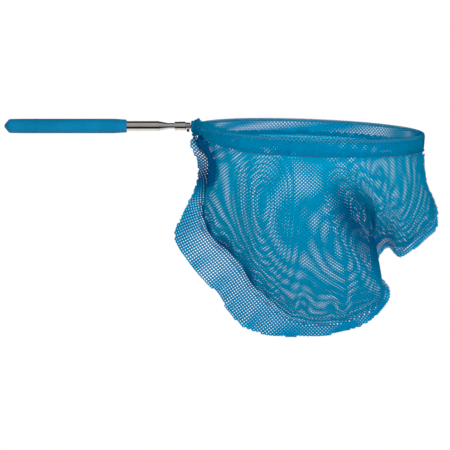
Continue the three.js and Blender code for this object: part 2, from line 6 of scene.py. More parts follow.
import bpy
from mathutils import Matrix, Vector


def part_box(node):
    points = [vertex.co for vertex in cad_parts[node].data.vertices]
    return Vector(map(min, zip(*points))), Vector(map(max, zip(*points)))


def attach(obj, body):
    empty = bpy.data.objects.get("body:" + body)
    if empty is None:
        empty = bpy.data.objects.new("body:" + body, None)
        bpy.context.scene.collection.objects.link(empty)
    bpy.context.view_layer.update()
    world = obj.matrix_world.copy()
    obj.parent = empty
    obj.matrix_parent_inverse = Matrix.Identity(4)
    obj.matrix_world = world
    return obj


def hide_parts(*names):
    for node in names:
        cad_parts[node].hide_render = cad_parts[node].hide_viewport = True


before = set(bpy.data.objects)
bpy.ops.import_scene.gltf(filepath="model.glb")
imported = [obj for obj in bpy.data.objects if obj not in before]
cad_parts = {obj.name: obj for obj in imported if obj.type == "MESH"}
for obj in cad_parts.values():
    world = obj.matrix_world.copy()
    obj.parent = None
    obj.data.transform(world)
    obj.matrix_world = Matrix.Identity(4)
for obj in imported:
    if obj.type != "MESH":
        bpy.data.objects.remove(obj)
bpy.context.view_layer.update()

import math

import bmesh
import bpy
import numpy as np
from bpy.props import FloatProperty, FloatVectorProperty, IntProperty, PointerProperty
from mathutils import Matrix, Vector

bl_info = {
    "name": "Telescopic Net",
    "version": (1, 0, 0),
    "blender": (4, 5, 0),
    "location": "View3D > Sidebar > Net",
    "description": "Builds the looks of a telescopic catching net around its packed frame",
    "category": "Add Mesh",
}

MM = 0.001
TURN_SIDES = 96
TUBE_BODIES = ("handle", "tube_2", "tube_3", "tube_4", "head")
TUBE_COUNT = len(TUBE_BODIES)
FLAT_MAP = "flat_pattern"


def extent(node, axis):
    """Lowest and highest coordinate of a frame node along one axis."""
    low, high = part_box(node)
    return low[axis], high[axis]


# Places that the frame gives
GRIP_START, GRIP_END = extent("grip", 0)
FERRULE_START, FERRULE_END = extent("ferrule", 0)
SOCKET_START, SOCKET_END = extent("hoop_socket", 0)
SCREW_FOOT, SCREW_TIP = extent("clamp_screw", 2)
SCREW_X = sum(extent("clamp_screw", 0)) / 2
WIRE_RIGHT = extent("hoop_wire", 1)[1]
WIRE_END = extent("hoop_wire", 0)[1]


def length_property(name, description, default):
    return FloatProperty(name=name, description=description, default=default, unit="LENGTH", precision=5)


def colour_property(name, description, default):
    return FloatVectorProperty(
        name=name, description=description, default=default, subtype="COLOR", size=3, min=0, max=1
    )


def share_property(name, description, default, low=0.1, high=0.95):
    return FloatProperty(name=name, description=description, default=default, min=low, max=high)


class GripSettings(bpy.types.PropertyGroup):
    """Sizes and finish of the foam grip."""

    radius: length_property("Radius", "Outside radius of the foam", 6.5 * MM)
    nose: length_property("Nose", "Length of the cone at the closed end", 4.4 * MM)
    mouth_radius: length_property("Mouth radius", "Outside radius of the foam at the bare tube", 5.75 * MM)
    mouth_taper: length_property("Mouth taper", "Length over which the foam thins to its mouth", 11 * MM)
    pebble: length_property("Pebble", "Size of the grains in the moulded skin", 0.8 * MM)
    colour: colour_property("Colour", "Foam colour", (0.0, 0.14, 0.28))


class PoleSettings(bpy.types.PropertyGroup):
    """Sizes and finish of the sliding tubes and the fittings at the tip."""

    first_radius: length_property("First radius", "Outside radius of the widest tube", 4.6 * MM)
    radius_step: length_property("Radius step", "How much thinner each next tube is", 0.45 * MM)
    wall: length_property("Wall", "Wall of every tube", 0.25 * MM)
    nose: length_property("Nose", "Length over which a mouth is drawn in", 2 * MM)
    lip: length_property("Lip", "Wall left at the rim of a mouth", 0.2 * MM)
    running_gap: length_property("Running gap", "Gap between a mouth and the next tube", 0.07 * MM)
    steel: colour_property("Steel", "Colour of the polished steel", (0.80, 0.78, 0.76))
    roughness: share_property("Roughness", "Roughness of the steel", 0.09, 0, 1)


class FabricSettings(bpy.types.PropertyGroup):
    """Sizes and finish of the knitted mesh."""

    across: length_property("Across", "Spacing of the holes along a row", 3.45 * MM)
    down: length_property("Down", "Spacing of the holes across the rows", 3.3 * MM)
    hole: share_property("Hole", "Size of a hole, as a share of its cell", 0.52)
    flap_hole: share_property("Flap hole", "The same where the flap hangs loose", 0.58)
    doubled_hole: share_property("Doubled hole", "The same in close plies", 0.42)
    hem_hole: share_property("Hem hole", "The same in the hem", 0.5)
    corner: share_property("Corner", "Share cut off each corner of a hole", 0.3, 0, 0.5)
    relief: length_property("Relief", "How far the threads stand above the rims of the holes", 0.45 * MM)
    colour: colour_property("Colour", "Yarn colour", (0.0, 0.175, 0.33))
    lit_colour: colour_property("Lit colour", "Yarn colour where light comes through it", (0.0, 0.42, 0.66))
    surface_step: length_property("Surface step", "Fineness of the hanging surface under the mesh", 2 * MM)
    flatten_rounds: IntProperty(name="Flatten rounds", description="Rounds of flattening", default=120, min=1)


class StitchSettings(bpy.types.PropertyGroup):
    """Sizes and finish of the sewing."""

    length: length_property("Length", "Length of one stitch", 2.2 * MM)
    gap: length_property("Gap", "Gap between two stitches", 0.5 * MM)
    radius: length_property("Radius", "Radius of the thread", 0.3 * MM)
    colour: colour_property("Colour", "Thread colour", (0.002, 0.10, 0.22))


class StageSettings(bpy.types.PropertyGroup):
    """Camera, lamps and floor."""

    distance: length_property("Distance", "From the camera to the middle of the view", 1.8)
    pitch: FloatProperty(
        name="Pitch", description="How far the camera looks down", default=math.radians(7.9), subtype="ANGLE"
    )
    view_width: length_property("View width", "Width of the view at the object", 0.407)
    aim_x: length_property("Aim X", "Middle of the view along the pole", 143.2 * MM)
    aim_z: length_property("Aim Z", "Height of the middle of the view", -89.8 * MM)
    floor_height: length_property("Floor height", "Height of the floor", -0.5)
    key: FloatProperty(name="Key", description="Power of the key lamp in watts", default=24)
    back: FloatProperty(name="Back", description="Power of the lamp behind the object in watts", default=13)
    ambient: FloatProperty(name="Ambient", description="Strength of the light from all round", default=0.4)


# Colours of the parts that have no setting of their own
SPRING_BRONZE = (0.62, 0.42, 0.2)
PLUG_BLACK = (0.016, 0.02, 0.024)
SOCKET_STEEL = (0.62, 0.62, 0.62)
WIRE_STEEL = (0.88, 0.89, 0.9)
SCREW_BLACK = (0.03, 0.03, 0.032)

# How much green and blue painted shade takes from the imported mesh, and how much of its light comes through
# the yarn
PAINTED_SHADE_GREEN = 0.76
PAINTED_SHADE_BLUE = 0.55
LIGHT_THROUGH = 0.35


# Node trees


def add_node(tree, kind, inputs=None, **settings):
    """A node with its settings, and its inputs set to values or linked to sockets."""
    made = tree.nodes.new(kind)
    for key, value in settings.items():
        setattr(made, key, value)
    for key, value in (inputs or {}).items():
        if isinstance(value, bpy.types.NodeSocket):
            tree.links.new(value, made.inputs[key])
        else:
            made.inputs[key].default_value = value
    return made


def maths(tree, operation, first, second=0.0, third=0.0):
    """The output of one Math node."""
    return add_node(tree, "ShaderNodeMath", {0: first, 1: second, 2: third}, operation=operation).outputs[0]


def vector_maths(tree, operation, first, second):
    """The output of one Vector Math node, whose second input is a number where it scales."""
    inputs = {0: first, "Scale" if operation == "SCALE" else 1: second}
    return add_node(tree, "ShaderNodeVectorMath", inputs, operation=operation).outputs[0]


def new_material(name):
    """An empty node material, its tree and its Principled shader."""
    material = bpy.data.materials.new(name)
    material.use_nodes = True
    tree = material.node_tree
    tree.nodes.clear()
    shader = add_node(tree, "ShaderNodeBsdfPrincipled")
    add_node(tree, "ShaderNodeOutputMaterial", {"Surface": shader.outputs["BSDF"]})
    return material, tree, shader


def shade(colour, factor):
    """The colour, darker or lighter by a factor, with an alpha of 1."""
    return (*[min(1.0, channel * factor) for channel in colour], 1.0)


def noise(tree, place, scale, detail):
    """Soft noise between 0 and 1."""
    inputs = {"Vector": place, "Scale": scale, "Detail": detail}
    return add_node(tree, "ShaderNodeTexNoise", inputs).outputs["Fac"]


def raise_skin(tree, shader, height, strength, depth):
    """Raises the shader's surface by a height."""
    bump = add_node(tree, "ShaderNodeBump", {"Height": height, "Strength": strength, "Distance": depth})
    tree.links.new(bump.outputs["Normal"], shader.inputs["Normal"])


def show_shader(tree, shader):
    """Makes a shader the one that the material shows."""
    output = next(node for node in tree.nodes if node.bl_idname == "ShaderNodeOutputMaterial")
    tree.links.new(shader.outputs[0], output.inputs["Surface"])


def mottled(tree, place, colour, scale, low, high):
    """The colour, varied between two shades by soft noise."""
    ramp = add_node(tree, "ShaderNodeValToRGB", {"Fac": noise(tree, place, scale, detail=4.0)})
    ramp.color_ramp.elements[0].position = 0.3
    ramp.color_ramp.elements[0].color = shade(colour, low)
    ramp.color_ramp.elements[1].position = 0.7
    ramp.color_ramp.elements[1].color = shade(colour, high)
    return ramp.outputs["Color"]


def object_coordinates(tree, scale=(1, 1, 1)):
    """Places in the piece's own coordinates, drawn together by a scale along each axis."""
    place = add_node(tree, "ShaderNodeTexCoord").outputs["Object"]
    return add_node(tree, "ShaderNodeMapping", {"Vector": place, "Scale": scale}).outputs["Vector"]


def foam_material(settings):
    """Closed-cell foam with a fine pebbled skin and a slightly uneven colour."""
    material, tree, shader = new_material("net_foam")
    place = object_coordinates(tree)
    grains = add_node(tree, "ShaderNodeTexVoronoi", {"Vector": place, "Scale": 1 / settings.pebble})
    pores = noise(tree, place, scale=4 / settings.pebble, detail=3.0)
    height = maths(tree, "MULTIPLY_ADD", pores, 0.6, grains.outputs["Distance"])
    raise_skin(tree, shader, height, strength=0.35, depth=0.12 * MM)
    colour = mottled(tree, place, settings.colour, scale=55.0, low=0.9, high=1.1)
    tree.links.new(colour, shader.inputs["Base Color"])
    rough = maths(tree, "MULTIPLY_ADD", pores, 0.2, 0.52)
    tree.links.new(rough, shader.inputs["Roughness"])
    shader.inputs["Specular IOR Level"].default_value = 0.12
    return material


def steel_material(name, colour, roughness):
    """Polished steel with fine marks drawn along the pole."""
    material, tree, shader = new_material(name)
    place = object_coordinates(tree)
    marks = noise(tree, object_coordinates(tree, (60, 2600, 2600)), scale=1.0, detail=3.0)
    smears = noise(tree, place, scale=90.0, detail=4.0)
    both = maths(tree, "MULTIPLY_ADD", marks, 0.5, smears)
    rough = maths(tree, "MULTIPLY_ADD", both, roughness, roughness * 0.4)
    tree.links.new(rough, shader.inputs["Roughness"])
    raise_skin(tree, shader, marks, strength=0.25, depth=0.002 * MM)
    shown = mottled(tree, place, colour, scale=140.0, low=0.96, high=1.03)
    tree.links.new(shown, shader.inputs["Base Color"])
    shader.inputs["Metallic"].default_value = 1.0
    return material


def plastic_material(name, colour):
    """Moulded plastic with a faint orange-peel skin."""
    material, tree, shader = new_material(name)
    place = object_coordinates(tree)
    peel = noise(tree, place, scale=1500.0, detail=2.0)
    raise_skin(tree, shader, peel, strength=0.2, depth=0.02 * MM)
    shown = mottled(tree, place, colour, scale=200.0, low=0.9, high=1.1)
    tree.links.new(shown, shader.inputs["Base Color"])
    shader.inputs["Roughness"].default_value = 0.5
    return material


def fabric_material(settings):
    """Knitted synthetic yarn: matt loops along the flat pattern, uneven dye, painted shade that darkens it in
    its folds, at the neck and along the seam, and some light that comes through."""
    material, tree, shader = new_material("net_mesh_fabric")
    flat = add_node(tree, "ShaderNodeUVMap", uv_map=FLAT_MAP).outputs["UV"]
    slanted = add_node(tree, "ShaderNodeMapping", {"Vector": flat, "Rotation": (0, 0, math.radians(45))})
    waves = {"Vector": slanted.outputs["Vector"], "Scale": 900.0, "Distortion": 3.0}
    loops = add_node(tree, "ShaderNodeTexWave", {**waves, "Detail": 2.0, "Detail Scale": 2.0})
    yarn = noise(tree, flat, scale=5200.0, detail=2.0)
    height = maths(tree, "MULTIPLY_ADD", yarn, 0.7, loops.outputs["Fac"])
    raise_skin(tree, shader, height, strength=0.35, depth=0.08 * MM)
    # Painted shade: the yarn and the light through it lose green and blue where the surface stores painted
    # shade
    packed = add_node(tree, "ShaderNodeAttribute", attribute_name="packed").outputs["Fac"]
    green = maths(tree, "MULTIPLY_ADD", packed, -PAINTED_SHADE_GREEN, 1.0)
    blue = maths(tree, "MULTIPLY_ADD", packed, -PAINTED_SHADE_BLUE, 1.0)
    deep = add_node(tree, "ShaderNodeCombineXYZ", {"X": 1.0, "Y": green, "Z": blue}).outputs[0]
    dyed = mottled(tree, flat, settings.colour, scale=120.0, low=0.93, high=1.07)
    tree.links.new(vector_maths(tree, "MULTIPLY", dyed, deep), shader.inputs["Base Color"])
    rough = maths(tree, "MULTIPLY_ADD", yarn, 0.2, 0.5)
    tree.links.new(rough, shader.inputs["Roughness"])
    shader.inputs["Specular IOR Level"].default_value = 0.0
    lit = mottled(tree, flat, settings.lit_colour, scale=120.0, low=0.93, high=1.07)
    pale = vector_maths(tree, "MULTIPLY", lit, deep)
    through = add_node(tree, "ShaderNodeBsdfTranslucent", {"Color": pale})
    shares = {0: LIGHT_THROUGH, 1: shader.outputs[0], 2: through.outputs[0]}
    show_shader(tree, add_node(tree, "ShaderNodeMixShader", shares))
    return material


def net_fabric(settings):
    """The one fabric of every knitted piece."""
    return bpy.data.materials.get("net_mesh_fabric") or fabric_material(settings)


def thread_material(settings):
    """Twisted sewing thread."""
    material, tree, shader = new_material("net_thread")
    place = object_coordinates(tree)
    twist = add_node(tree, "ShaderNodeTexWave", {"Vector": place, "Scale": 900.0, "Distortion": 1.0})
    raise_skin(tree, shader, twist.outputs["Fac"], strength=0.5, depth=0.05 * MM)
    colour = mottled(tree, place, settings.colour, scale=400.0, low=0.85, high=1.15)
    tree.links.new(colour, shader.inputs["Base Color"])
    shader.inputs["Roughness"].default_value = 0.55
    return material


# Meshes


def show(name, mesh):
    """A new object with the mesh, in the scene."""
    mesh.name = name
    made = bpy.data.objects.new(name, mesh)
    bpy.context.scene.collection.objects.link(made)
    return made


def smoothed(mesh, sharp_over):
    """The mesh with smooth faces and sharp edges over an angle in degrees."""
    mesh.shade_smooth()
    mesh.set_sharp_from_angle(angle=math.radians(sharp_over))
    return mesh


def finish_piece(piece, body, material=None, stands_for=()):
    """Gives the piece its finish, its body and the frame nodes that it stands for."""
    if material:
        piece.data.materials.clear()
        piece.data.materials.append(material)
    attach(piece, body)
    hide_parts(*stands_for)


def mesh_from(vertices, faces):
    """A mesh from plain lists or arrays of places and of vertex numbers."""
    mesh = bpy.data.meshes.new("part")
    places = [tuple(map(float, vertex)) for vertex in vertices]
    mesh.from_pydata(places, [], [tuple(map(int, face)) for face in faces])
    mesh.update()
    return mesh


def rounded(points, steps=5):
    """A profile of (x, radius, fillet) points with each corner turned to an arc by its fillet."""
    outline = []
    for i, (x, radius, fillet) in enumerate(points):
        here = Vector((x, radius))
        if not fillet:
            outline.append(here)
            continue
        before = (Vector(points[i - 1][:2]) - here).normalized()
        after = (Vector(points[i + 1][:2]) - here).normalized()
        start, end = here + before * fillet, here + after * fillet
        for step in range(steps + 1):
            t = step / steps
            outline.append(start.lerp(here, t).lerp(here.lerp(end, t), t))
    return outline


def turned(profile, sides=TURN_SIDES, closed=False):
    """A profile of (x, radius) pairs turned round the pole's axis."""
    shape = bmesh.new()
    angles = [2 * math.pi * i / sides for i in range(sides)]
    rings = []
    for x, radius in profile:
        if radius < 1e-7:
            rings.append([shape.verts.new((x, 0, 0))])
        else:
            rings.append([shape.verts.new((x, radius * math.sin(a), radius * math.cos(a))) for a in angles])
    pairs = list(zip(rings, rings[1:] + rings[:1] if closed else rings[1:]))
    for ring, following in pairs:
        for i in range(sides):
            j = (i + 1) % sides
            corners = [ring[i % len(ring)], ring[j % len(ring)]]
            corners += [following[j % len(following)], following[i % len(following)]]
            corners = list(dict.fromkeys(corners))
            if len(corners) > 2:
                shape.faces.new(corners)
    bmesh.ops.recalc_face_normals(shape, faces=shape.faces)
    mesh = bpy.data.meshes.new("turned")
    shape.to_mesh(mesh)
    shape.free()
    return mesh


def closed_rings(rings):
    """Vertices and faces of closed rings of points, joined in order and capped."""
    count, sides = rings.shape[:2]
    faces = [
        (r * sides + s, r * sides + (s + 1) % sides, (r + 1) * sides + (s + 1) % sides, (r + 1) * sides + s)
        for r in range(count - 1)
        for s in range(sides)
    ]
    faces.append(tuple(range(sides))[::-1])
    faces.append(tuple((count - 1) * sides + s for s in range(sides)))
    return rings.reshape(-1, 3), faces


def swept(path, radius, sides):
    """A round bar along a path, with a flat at each end."""
    path = np.asarray(path, float)
    along = np.gradient(path, axis=0)
    along /= np.linalg.norm(along, axis=1, keepdims=True)
    side = np.cross((0, 0, 1), along)
    side /= np.linalg.norm(side, axis=1, keepdims=True)
    over = np.cross(along, side)
    angles = 2 * np.pi * np.arange(sides) / sides
    rings = path[:, None] + radius * (
        side[:, None] * np.cos(angles)[None, :, None] + over[:, None] * np.sin(angles)[None, :, None]
    )
    return mesh_from(*closed_rings(rings))


def grid_mesh(points, flat, hole, packed=0.0):
    """A mesh over a grid of points, with the flat pattern as its UV map, the size of the holes in it and the
    painted shade that darkens its colour."""
    rows, columns = points.shape[:2]
    index = np.arange(rows * columns).reshape(rows, columns)
    faces = np.stack([index[:-1, :-1], index[1:, :-1], index[1:, 1:], index[:-1, 1:]], axis=-1).reshape(-1, 4)
    mesh = mesh_from(points.reshape(-1, 3), faces)
    layer = mesh.uv_layers.new(name=FLAT_MAP)
    layer.data.foreach_set("uv", flat.reshape(-1, 2)[faces.reshape(-1)].astype(np.float32).reshape(-1))
    for name, values in (("hole_size", hole), ("packed", packed)):
        sizes = np.broadcast_to(values, (rows, columns)).astype(np.float32)
        mesh.attributes.new(name, "FLOAT", "POINT").data.foreach_set("value", sizes.reshape(-1))
    mesh.shade_smooth()
    return mesh


def cut(target, tool):
    """The target mesh with the tool's solid taken away."""
    body, cutter = show("cut_body", target), show("cut_tool", tool)
    modifier = body.modifiers.new("cut", "BOOLEAN")
    modifier.operation = "DIFFERENCE"
    modifier.solver = "EXACT"
    modifier.object = cutter
    bpy.context.view_layer.update()
    result = bpy.data.meshes.new_from_object(body.evaluated_get(bpy.context.evaluated_depsgraph_get()))
    for done in (body, cutter):
        bpy.data.objects.remove(done)
    return result


def moved(mesh, matrix):
    """The mesh itself, moved by a matrix."""
    mesh.transform(matrix)
    return mesh


def baked(carrier, name):
    """A plain mesh object of what the carrier's modifiers make; the carrier goes."""
    bpy.context.view_layer.update()
    evaluated = carrier.evaluated_get(bpy.context.evaluated_depsgraph_get())
    result = bpy.data.meshes.new_from_object(evaluated)
    bpy.data.objects.remove(carrier)
    return show(name, result)


def set_inputs(modifier, values):
    """Sets a Geometry Nodes modifier's inputs, found by name and set by identifier."""
    for item in modifier.node_group.interface.items_tree:
        if item.item_type == "SOCKET" and item.in_out == "INPUT" and item.name in values:
            modifier[item.identifier] = values[item.name]


def node_modifier(carrier, tree, values):
    """Gives the carrier a Geometry Nodes tree with its inputs."""
    modifier = carrier.modifiers.new(tree.name, "NODES")
    modifier.node_group = tree
    set_inputs(modifier, values)


def node_group(name, sockets):
    """A Geometry Nodes tree with its inputs, given as name to socket type, and its group nodes."""
    tree = bpy.data.node_groups.new(name, "GeometryNodeTree")
    for label, kind in sockets.items():
        tree.interface.new_socket(label, in_out="INPUT", socket_type=kind)
    tree.interface.new_socket("Geometry", in_out="OUTPUT", socket_type="NodeSocketGeometry")
    return tree, tree.nodes.new("NodeGroupInput"), tree.nodes.new("NodeGroupOutput")


# Grip and pole


def make_grip(settings):
    """The foam sleeve, closed by a cone at one end and thinned to a mouth at the other."""
    clearance, tip, rim = 0.1 * MM, 1.1 * MM, 0.2 * MM
    start, end, radius = GRIP_START, GRIP_END, settings.radius
    bore = extent("pole_tube_1", 2)[1] + clearance
    depth = extent("base_plug", 0)[0] - clearance
    outer = [
        (start, 0, 0),
        (start + 0.1 * MM, tip, 0.9 * MM),
        (start + settings.nose, radius - 0.2 * MM, 1.5 * MM),
        (start + 4 * settings.nose, radius, 2 * MM),
        (end - settings.mouth_taper, radius, 3 * MM),
        (end - 0.1 * MM, settings.mouth_radius, 0.7 * MM),
        (end, bore + rim, 0.1 * MM),
        (end - rim, bore, 0),
        (depth, bore, 0),
        (depth, 0, 0),
    ]
    piece = show("foam_grip", smoothed(turned(rounded(outer)), sharp_over=50))
    finish_piece(piece, "handle", foam_material(settings), ["grip"])


# Foot of a moving tube: its collar, the groove for its spring and the ramp up from that groove
COLLAR_HEIGHT = 0.1 * MM
COLLAR_LENGTH = 1 * MM
GROOVE_DEPTH = 0.35 * MM
GROOVE_LENGTH = 6.6 * MM
RAMP_LENGTH = 0.6 * MM


def tube_profile(settings, k):
    """Outer and inner outline of tube k: grooved foot, straight wall and drawn-in mouth."""
    start, end = extent(f"pole_tube_{k + 1}", 0)
    radius = settings.first_radius - k * settings.radius_step
    inside = radius - settings.wall
    if k == 0:
        outer = [(start, radius - 0.05 * MM, 0), (start + 0.05 * MM, radius, 0)]
        inner = [(start, inside, 0)]
    else:
        reach, floor = radius + COLLAR_HEIGHT, radius - GROOVE_DEPTH
        groove_start = start + COLLAR_LENGTH
        groove_end = groove_start + GROOVE_LENGTH
        ramp_end = groove_end + RAMP_LENGTH
        outer = [
            (start, reach, 0),
            (groove_start, reach, 0.1 * MM),
            (groove_start, floor, 0.05 * MM),
            (groove_end, floor, 0.1 * MM),
            (ramp_end, radius, 0.1 * MM),
        ]
        inner = [
            (start, floor - settings.wall, 0),
            (groove_end, floor - settings.wall, 0),
            (ramp_end, inside, 0),
        ]
    if k == TUBE_COUNT - 1:
        outer += [(end, radius, 0)]
        inner += [(end, inside, 0)]
    else:
        guide = radius - settings.radius_step + settings.running_gap
        nose = settings.nose
        outer += [
            (end - nose, radius, 0.5 * MM),
            (end - nose * 0.25, guide + settings.lip + 0.14 * MM, 0.25 * MM),
            (end, guide + settings.lip * 0.6, 0.1 * MM),
        ]
        inner += [(end - nose, inside, 0), (end - nose / 2, guide, 0), (end, guide, 0)]
    return outer + inner[::-1]


def make_pole(settings):
    """The five tubes, and the finish of the springs and the plug inside them."""
    steel = steel_material("net_tube_steel", settings.steel, settings.roughness)
    for k, body in enumerate(TUBE_BODIES):
        mesh = smoothed(turned(rounded(tube_profile(settings, k)), closed=True), sharp_over=35)
        finish_piece(show(f"tube_{k + 1}", mesh), body, steel, [f"pole_tube_{k + 1}"])
    bronze = steel_material("net_spring_bronze", SPRING_BRONZE, roughness=0.3)
    for k in range(1, TUBE_COUNT):
        dress_node(f"friction_spring_{k + 1}", bronze)
    dress_node("base_plug", plastic_material("net_plug_plastic", PLUG_BLACK))


def dress_node(node, material):
    """Gives a frame node that keeps its own shape its finish."""
    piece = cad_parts[node]
    piece.data.materials.clear()
    piece.data.materials.append(material)


# Hoop and its fittings

WIRE_RADIUS = 1.2 * MM
LEG_SPREAD = 1.45 * MM
LEG_BEND = 6 * MM
LEG_START = SOCKET_START + 1.6 * MM
BEND_START = SOCKET_END + 0.46 * MM
HOOP_RADIUS = WIRE_RIGHT - WIRE_RADIUS
HOOP_CENTRE = WIRE_END - WIRE_RADIUS - HOOP_RADIUS
HOOP_DROOP = math.radians(2)


def droop(x):
    """How far the hoop and what hangs on it lie below the pole's axis."""
    return np.maximum(0, x - SOCKET_END) * math.tan(HOOP_DROOP)


def hoop_path():
    """The middle line of the wire: leg, bend, circle, bend, leg."""
    bend_side = LEG_SPREAD + LEG_BEND
    join = math.asin(bend_side / (HOOP_RADIUS + LEG_BEND))
    bend = [
        (BEND_START + LEG_BEND * math.cos(a), bend_side + LEG_BEND * math.sin(a))
        for a in np.linspace(-math.pi / 2, -join, 14)
    ]
    circle = [
        (HOOP_CENTRE + HOOP_RADIUS * math.cos(a), HOOP_RADIUS * math.sin(a))
        for a in np.linspace(math.pi - join, 0, 120)
    ]
    half = [(LEG_START, LEG_SPREAD), *bend, *circle[1:]]
    plan = half + [(x, -y) for x, y in reversed(half[:-1])]
    return [(x, y, -float(droop(x))) for x, y in plan]


# Facets of the frame's round fittings, the room between fitted parts, and a bore one long and one in radius
FRAME_FACETS = 24
FIT = 0.08 * MM
BORE_SIDES = 32
BORE = [(0, 0), (0, 1), (1, 1), (1, 0)]


def full_radius(node):
    """Radius of a round frame node, whose flat facets reach a little less far."""
    return extent(node, 2)[1] / math.cos(math.pi / FRAME_FACETS)


def make_fittings(settings):
    """The crimped ferrule, the bored socket, the wire hoop and the clamp screw."""
    make_ferrule(settings)
    make_socket()
    wire = smoothed(swept(hoop_path(), WIRE_RADIUS, sides=20), sharp_over=60)
    spring_steel = steel_material("net_wire_steel", WIRE_STEEL, roughness=0.6)
    finish_piece(show("wire_hoop", wire), "head", spring_steel, ["hoop_wire"])
    make_screw()


def make_ferrule(settings):
    """The collar on the thinnest tube, with a crimped groove round it and a wider seat for the socket."""
    polished = steel_material("net_ferrule_steel", settings.steel, roughness=0.13)
    tube = settings.first_radius - (TUBE_COUNT - 1) * settings.radius_step + FIT
    radius, seat = full_radius("ferrule"), full_radius("hoop_socket") + FIT
    crimp, crimp_half, crimp_floor, crimp_depth = FERRULE_START + 2.85 * MM, 0.9 * MM, 0.3 * MM, 0.2 * MM
    rim, rim_drop = 0.6 * MM, 0.15 * MM
    step = SOCKET_START - 0.3 * MM
    ferrule = [
        (FERRULE_START, tube, 0),
        (FERRULE_START, radius - rim_drop, 0.35 * MM),
        (FERRULE_START + rim, radius, 0.3 * MM),
        (crimp - crimp_half, radius, 0.25 * MM),
        (crimp - crimp_floor, radius - crimp_depth, 0.2 * MM),
        (crimp + crimp_floor, radius - crimp_depth, 0.2 * MM),
        (crimp + crimp_half, radius, 0.25 * MM),
        (FERRULE_END - rim, radius, 0.3 * MM),
        (FERRULE_END, radius - rim_drop, 0.35 * MM),
        (FERRULE_END, seat, 0),
        (step, seat, 0),
        (step, tube, 0),
    ]
    mesh = smoothed(turned(rounded(ferrule), closed=True), sharp_over=35)
    finish_piece(show("tip_ferrule", mesh), "head", polished, ["ferrule"])


def make_socket():
    """The stub with two bores for the legs of the wire and a cross bore for the clamp screw."""
    plated = steel_material("net_socket_steel", SOCKET_STEEL, roughness=0.2)
    radius = full_radius("hoop_socket")
    bore_floor, leg_room, screw_bore, screw_depth = 1.3 * MM, 0.12 * MM, 0.88 * MM, 4 * MM
    block = [
        (SOCKET_START, 0, 0),
        (SOCKET_START, radius, 0.1 * MM),
        (SOCKET_END - 0.05 * MM, radius, 0.3 * MM),
        (SOCKET_END, 0, 0),
    ]
    solid = turned(rounded(block))
    for side in (-1, 1):
        place = Matrix.Translation((SOCKET_START + bore_floor, side * LEG_SPREAD, 0))
        size = Matrix.Diagonal((SOCKET_END - SOCKET_START, WIRE_RADIUS + leg_room, WIRE_RADIUS + leg_room, 1))
        solid = cut(solid, moved(turned(BORE, BORE_SIDES), place @ size))
    upright = Matrix.Rotation(math.pi / 2, 4, "Y")
    tapped = moved(turned([(x * screw_depth, r * screw_bore) for x, r in BORE], BORE_SIDES), upright)
    solid = cut(solid, moved(tapped, Matrix.Translation((SCREW_X, 0, 0))))
    piece = show("leg_socket", smoothed(solid, sharp_over=35))
    finish_piece(piece, "head", plated, ["hoop_socket"])


def make_screw():
    """The clamp screw, turned upright from its head to its point, with a slot in the head."""
    head, shank, lip, point = 1.15 * MM, 0.8 * MM, 0.3 * MM, 0.4 * MM
    slot_depth, slot_length, slot_width = 0.6 * MM, 4 * MM, 0.4 * MM
    top = SCREW_FOOT + 2 * MM
    profile = [
        (SCREW_FOOT, 0, 0),
        (SCREW_FOOT, head, lip),
        (top, head, 0.1 * MM),
        (top, shank, 0),
        (SCREW_TIP - point, shank, 0.1 * MM),
        (SCREW_TIP, point, 0),
        (SCREW_TIP, 0, 0),
    ]
    slot = bmesh.new()
    size = Matrix.Diagonal((2 * slot_depth, slot_length, slot_width, 1))
    bmesh.ops.create_cube(slot, size=1, matrix=size)
    tool = bpy.data.meshes.new("slot")
    slot.to_mesh(tool)
    slot.free()
    tool.transform(Matrix.Translation((SCREW_FOOT, 0, 0)))
    screw = cut(turned(rounded(profile), sides=48), tool)
    screw.transform(Matrix.Translation((SCREW_X, 0, 0)) @ Matrix.Rotation(-math.pi / 2, 4, "Y"))
    black = steel_material("net_screw_black", SCREW_BLACK, roughness=0.3)
    piece = show("socket_screw", smoothed(screw, sharp_over=35))
    finish_piece(piece, "head", black, ["clamp_screw"])


# Bag: the surface that the mesh hangs in

HEM_DEPTH = 15 * MM
HEM_TUCK = 7 * MM
BAG_DEPTH = 159 * MM
PANEL_END_GAP = 1.2 * MM
PLIES_APART = 0.9 * MM
PATTERN_WIDTH = 202
PATTERN_DEPTH = 158
FULLNESS = 0.85

# The bag seen from the side, as seam point and raw edge point: millimetres right of the hoop's near end
# and below the foot of the hem, for a hoop and a bag of the pattern's size
OUTLINE = [
    ((-2, -12), (-8, -17)),
    ((1, 3), (-5.5, -7)),
    ((8.5, 9), (-7, 3)),
    ((17, 17), (-1.5, 14.5)),
    ((19.5, 27), (0, 25)),
    ((12.5, 41.5), (-4.5, 44)),
    ((4.5, 56.5), (-14.5, 64)),
    ((6, 71.5), (-22, 88)),
    ((14.5, 86.5), (-11.5, 103.5)),
    ((29, 98), (0.8, 120)),
    ((40, 110), (16.6, 136.5)),
    ((49.5, 126.5), (27.6, 152.5)),
    ((63, 138), (41.5, 166.5)),
    ((83, 154), (66, 173.5)),
    ((110, 159), (98, 174)),
    ((132, 156), (128, 169.5)),
    ((151, 148), (151, 161)),
    ((166, 137), (171.5, 143)),
    ((168, 125), (175, 128)),
    ((158.5, 110), (163.5, 111)),
    ((158, 100.5), (163.5, 102)),
    ((164.5, 88), (168, 93.5)),
    ((173, 84.5), (173.5, 89.5)),
    ((181, 90.5), (183, 97.5)),
    ((197, 79.5), (202, 86)),
    ((211, 65.5), (216.5, 71)),
    ((214, 53), (217.5, 53.5)),
    ((205, 30.5), (208, 30)),
    ((202, 12.5), (205, 11.5)),
    ((201.5, 2.5), (205, 1.5)),
]

# Folds that push a panel in, as share of the seam's length from the pole's end, lean, width and depth
FRONT_FOLDS = [(0.57, 0.19, 0.045, 0.85)]
BACK_FOLDS = [(0.36, 0.0, 0.09, 0.3)]

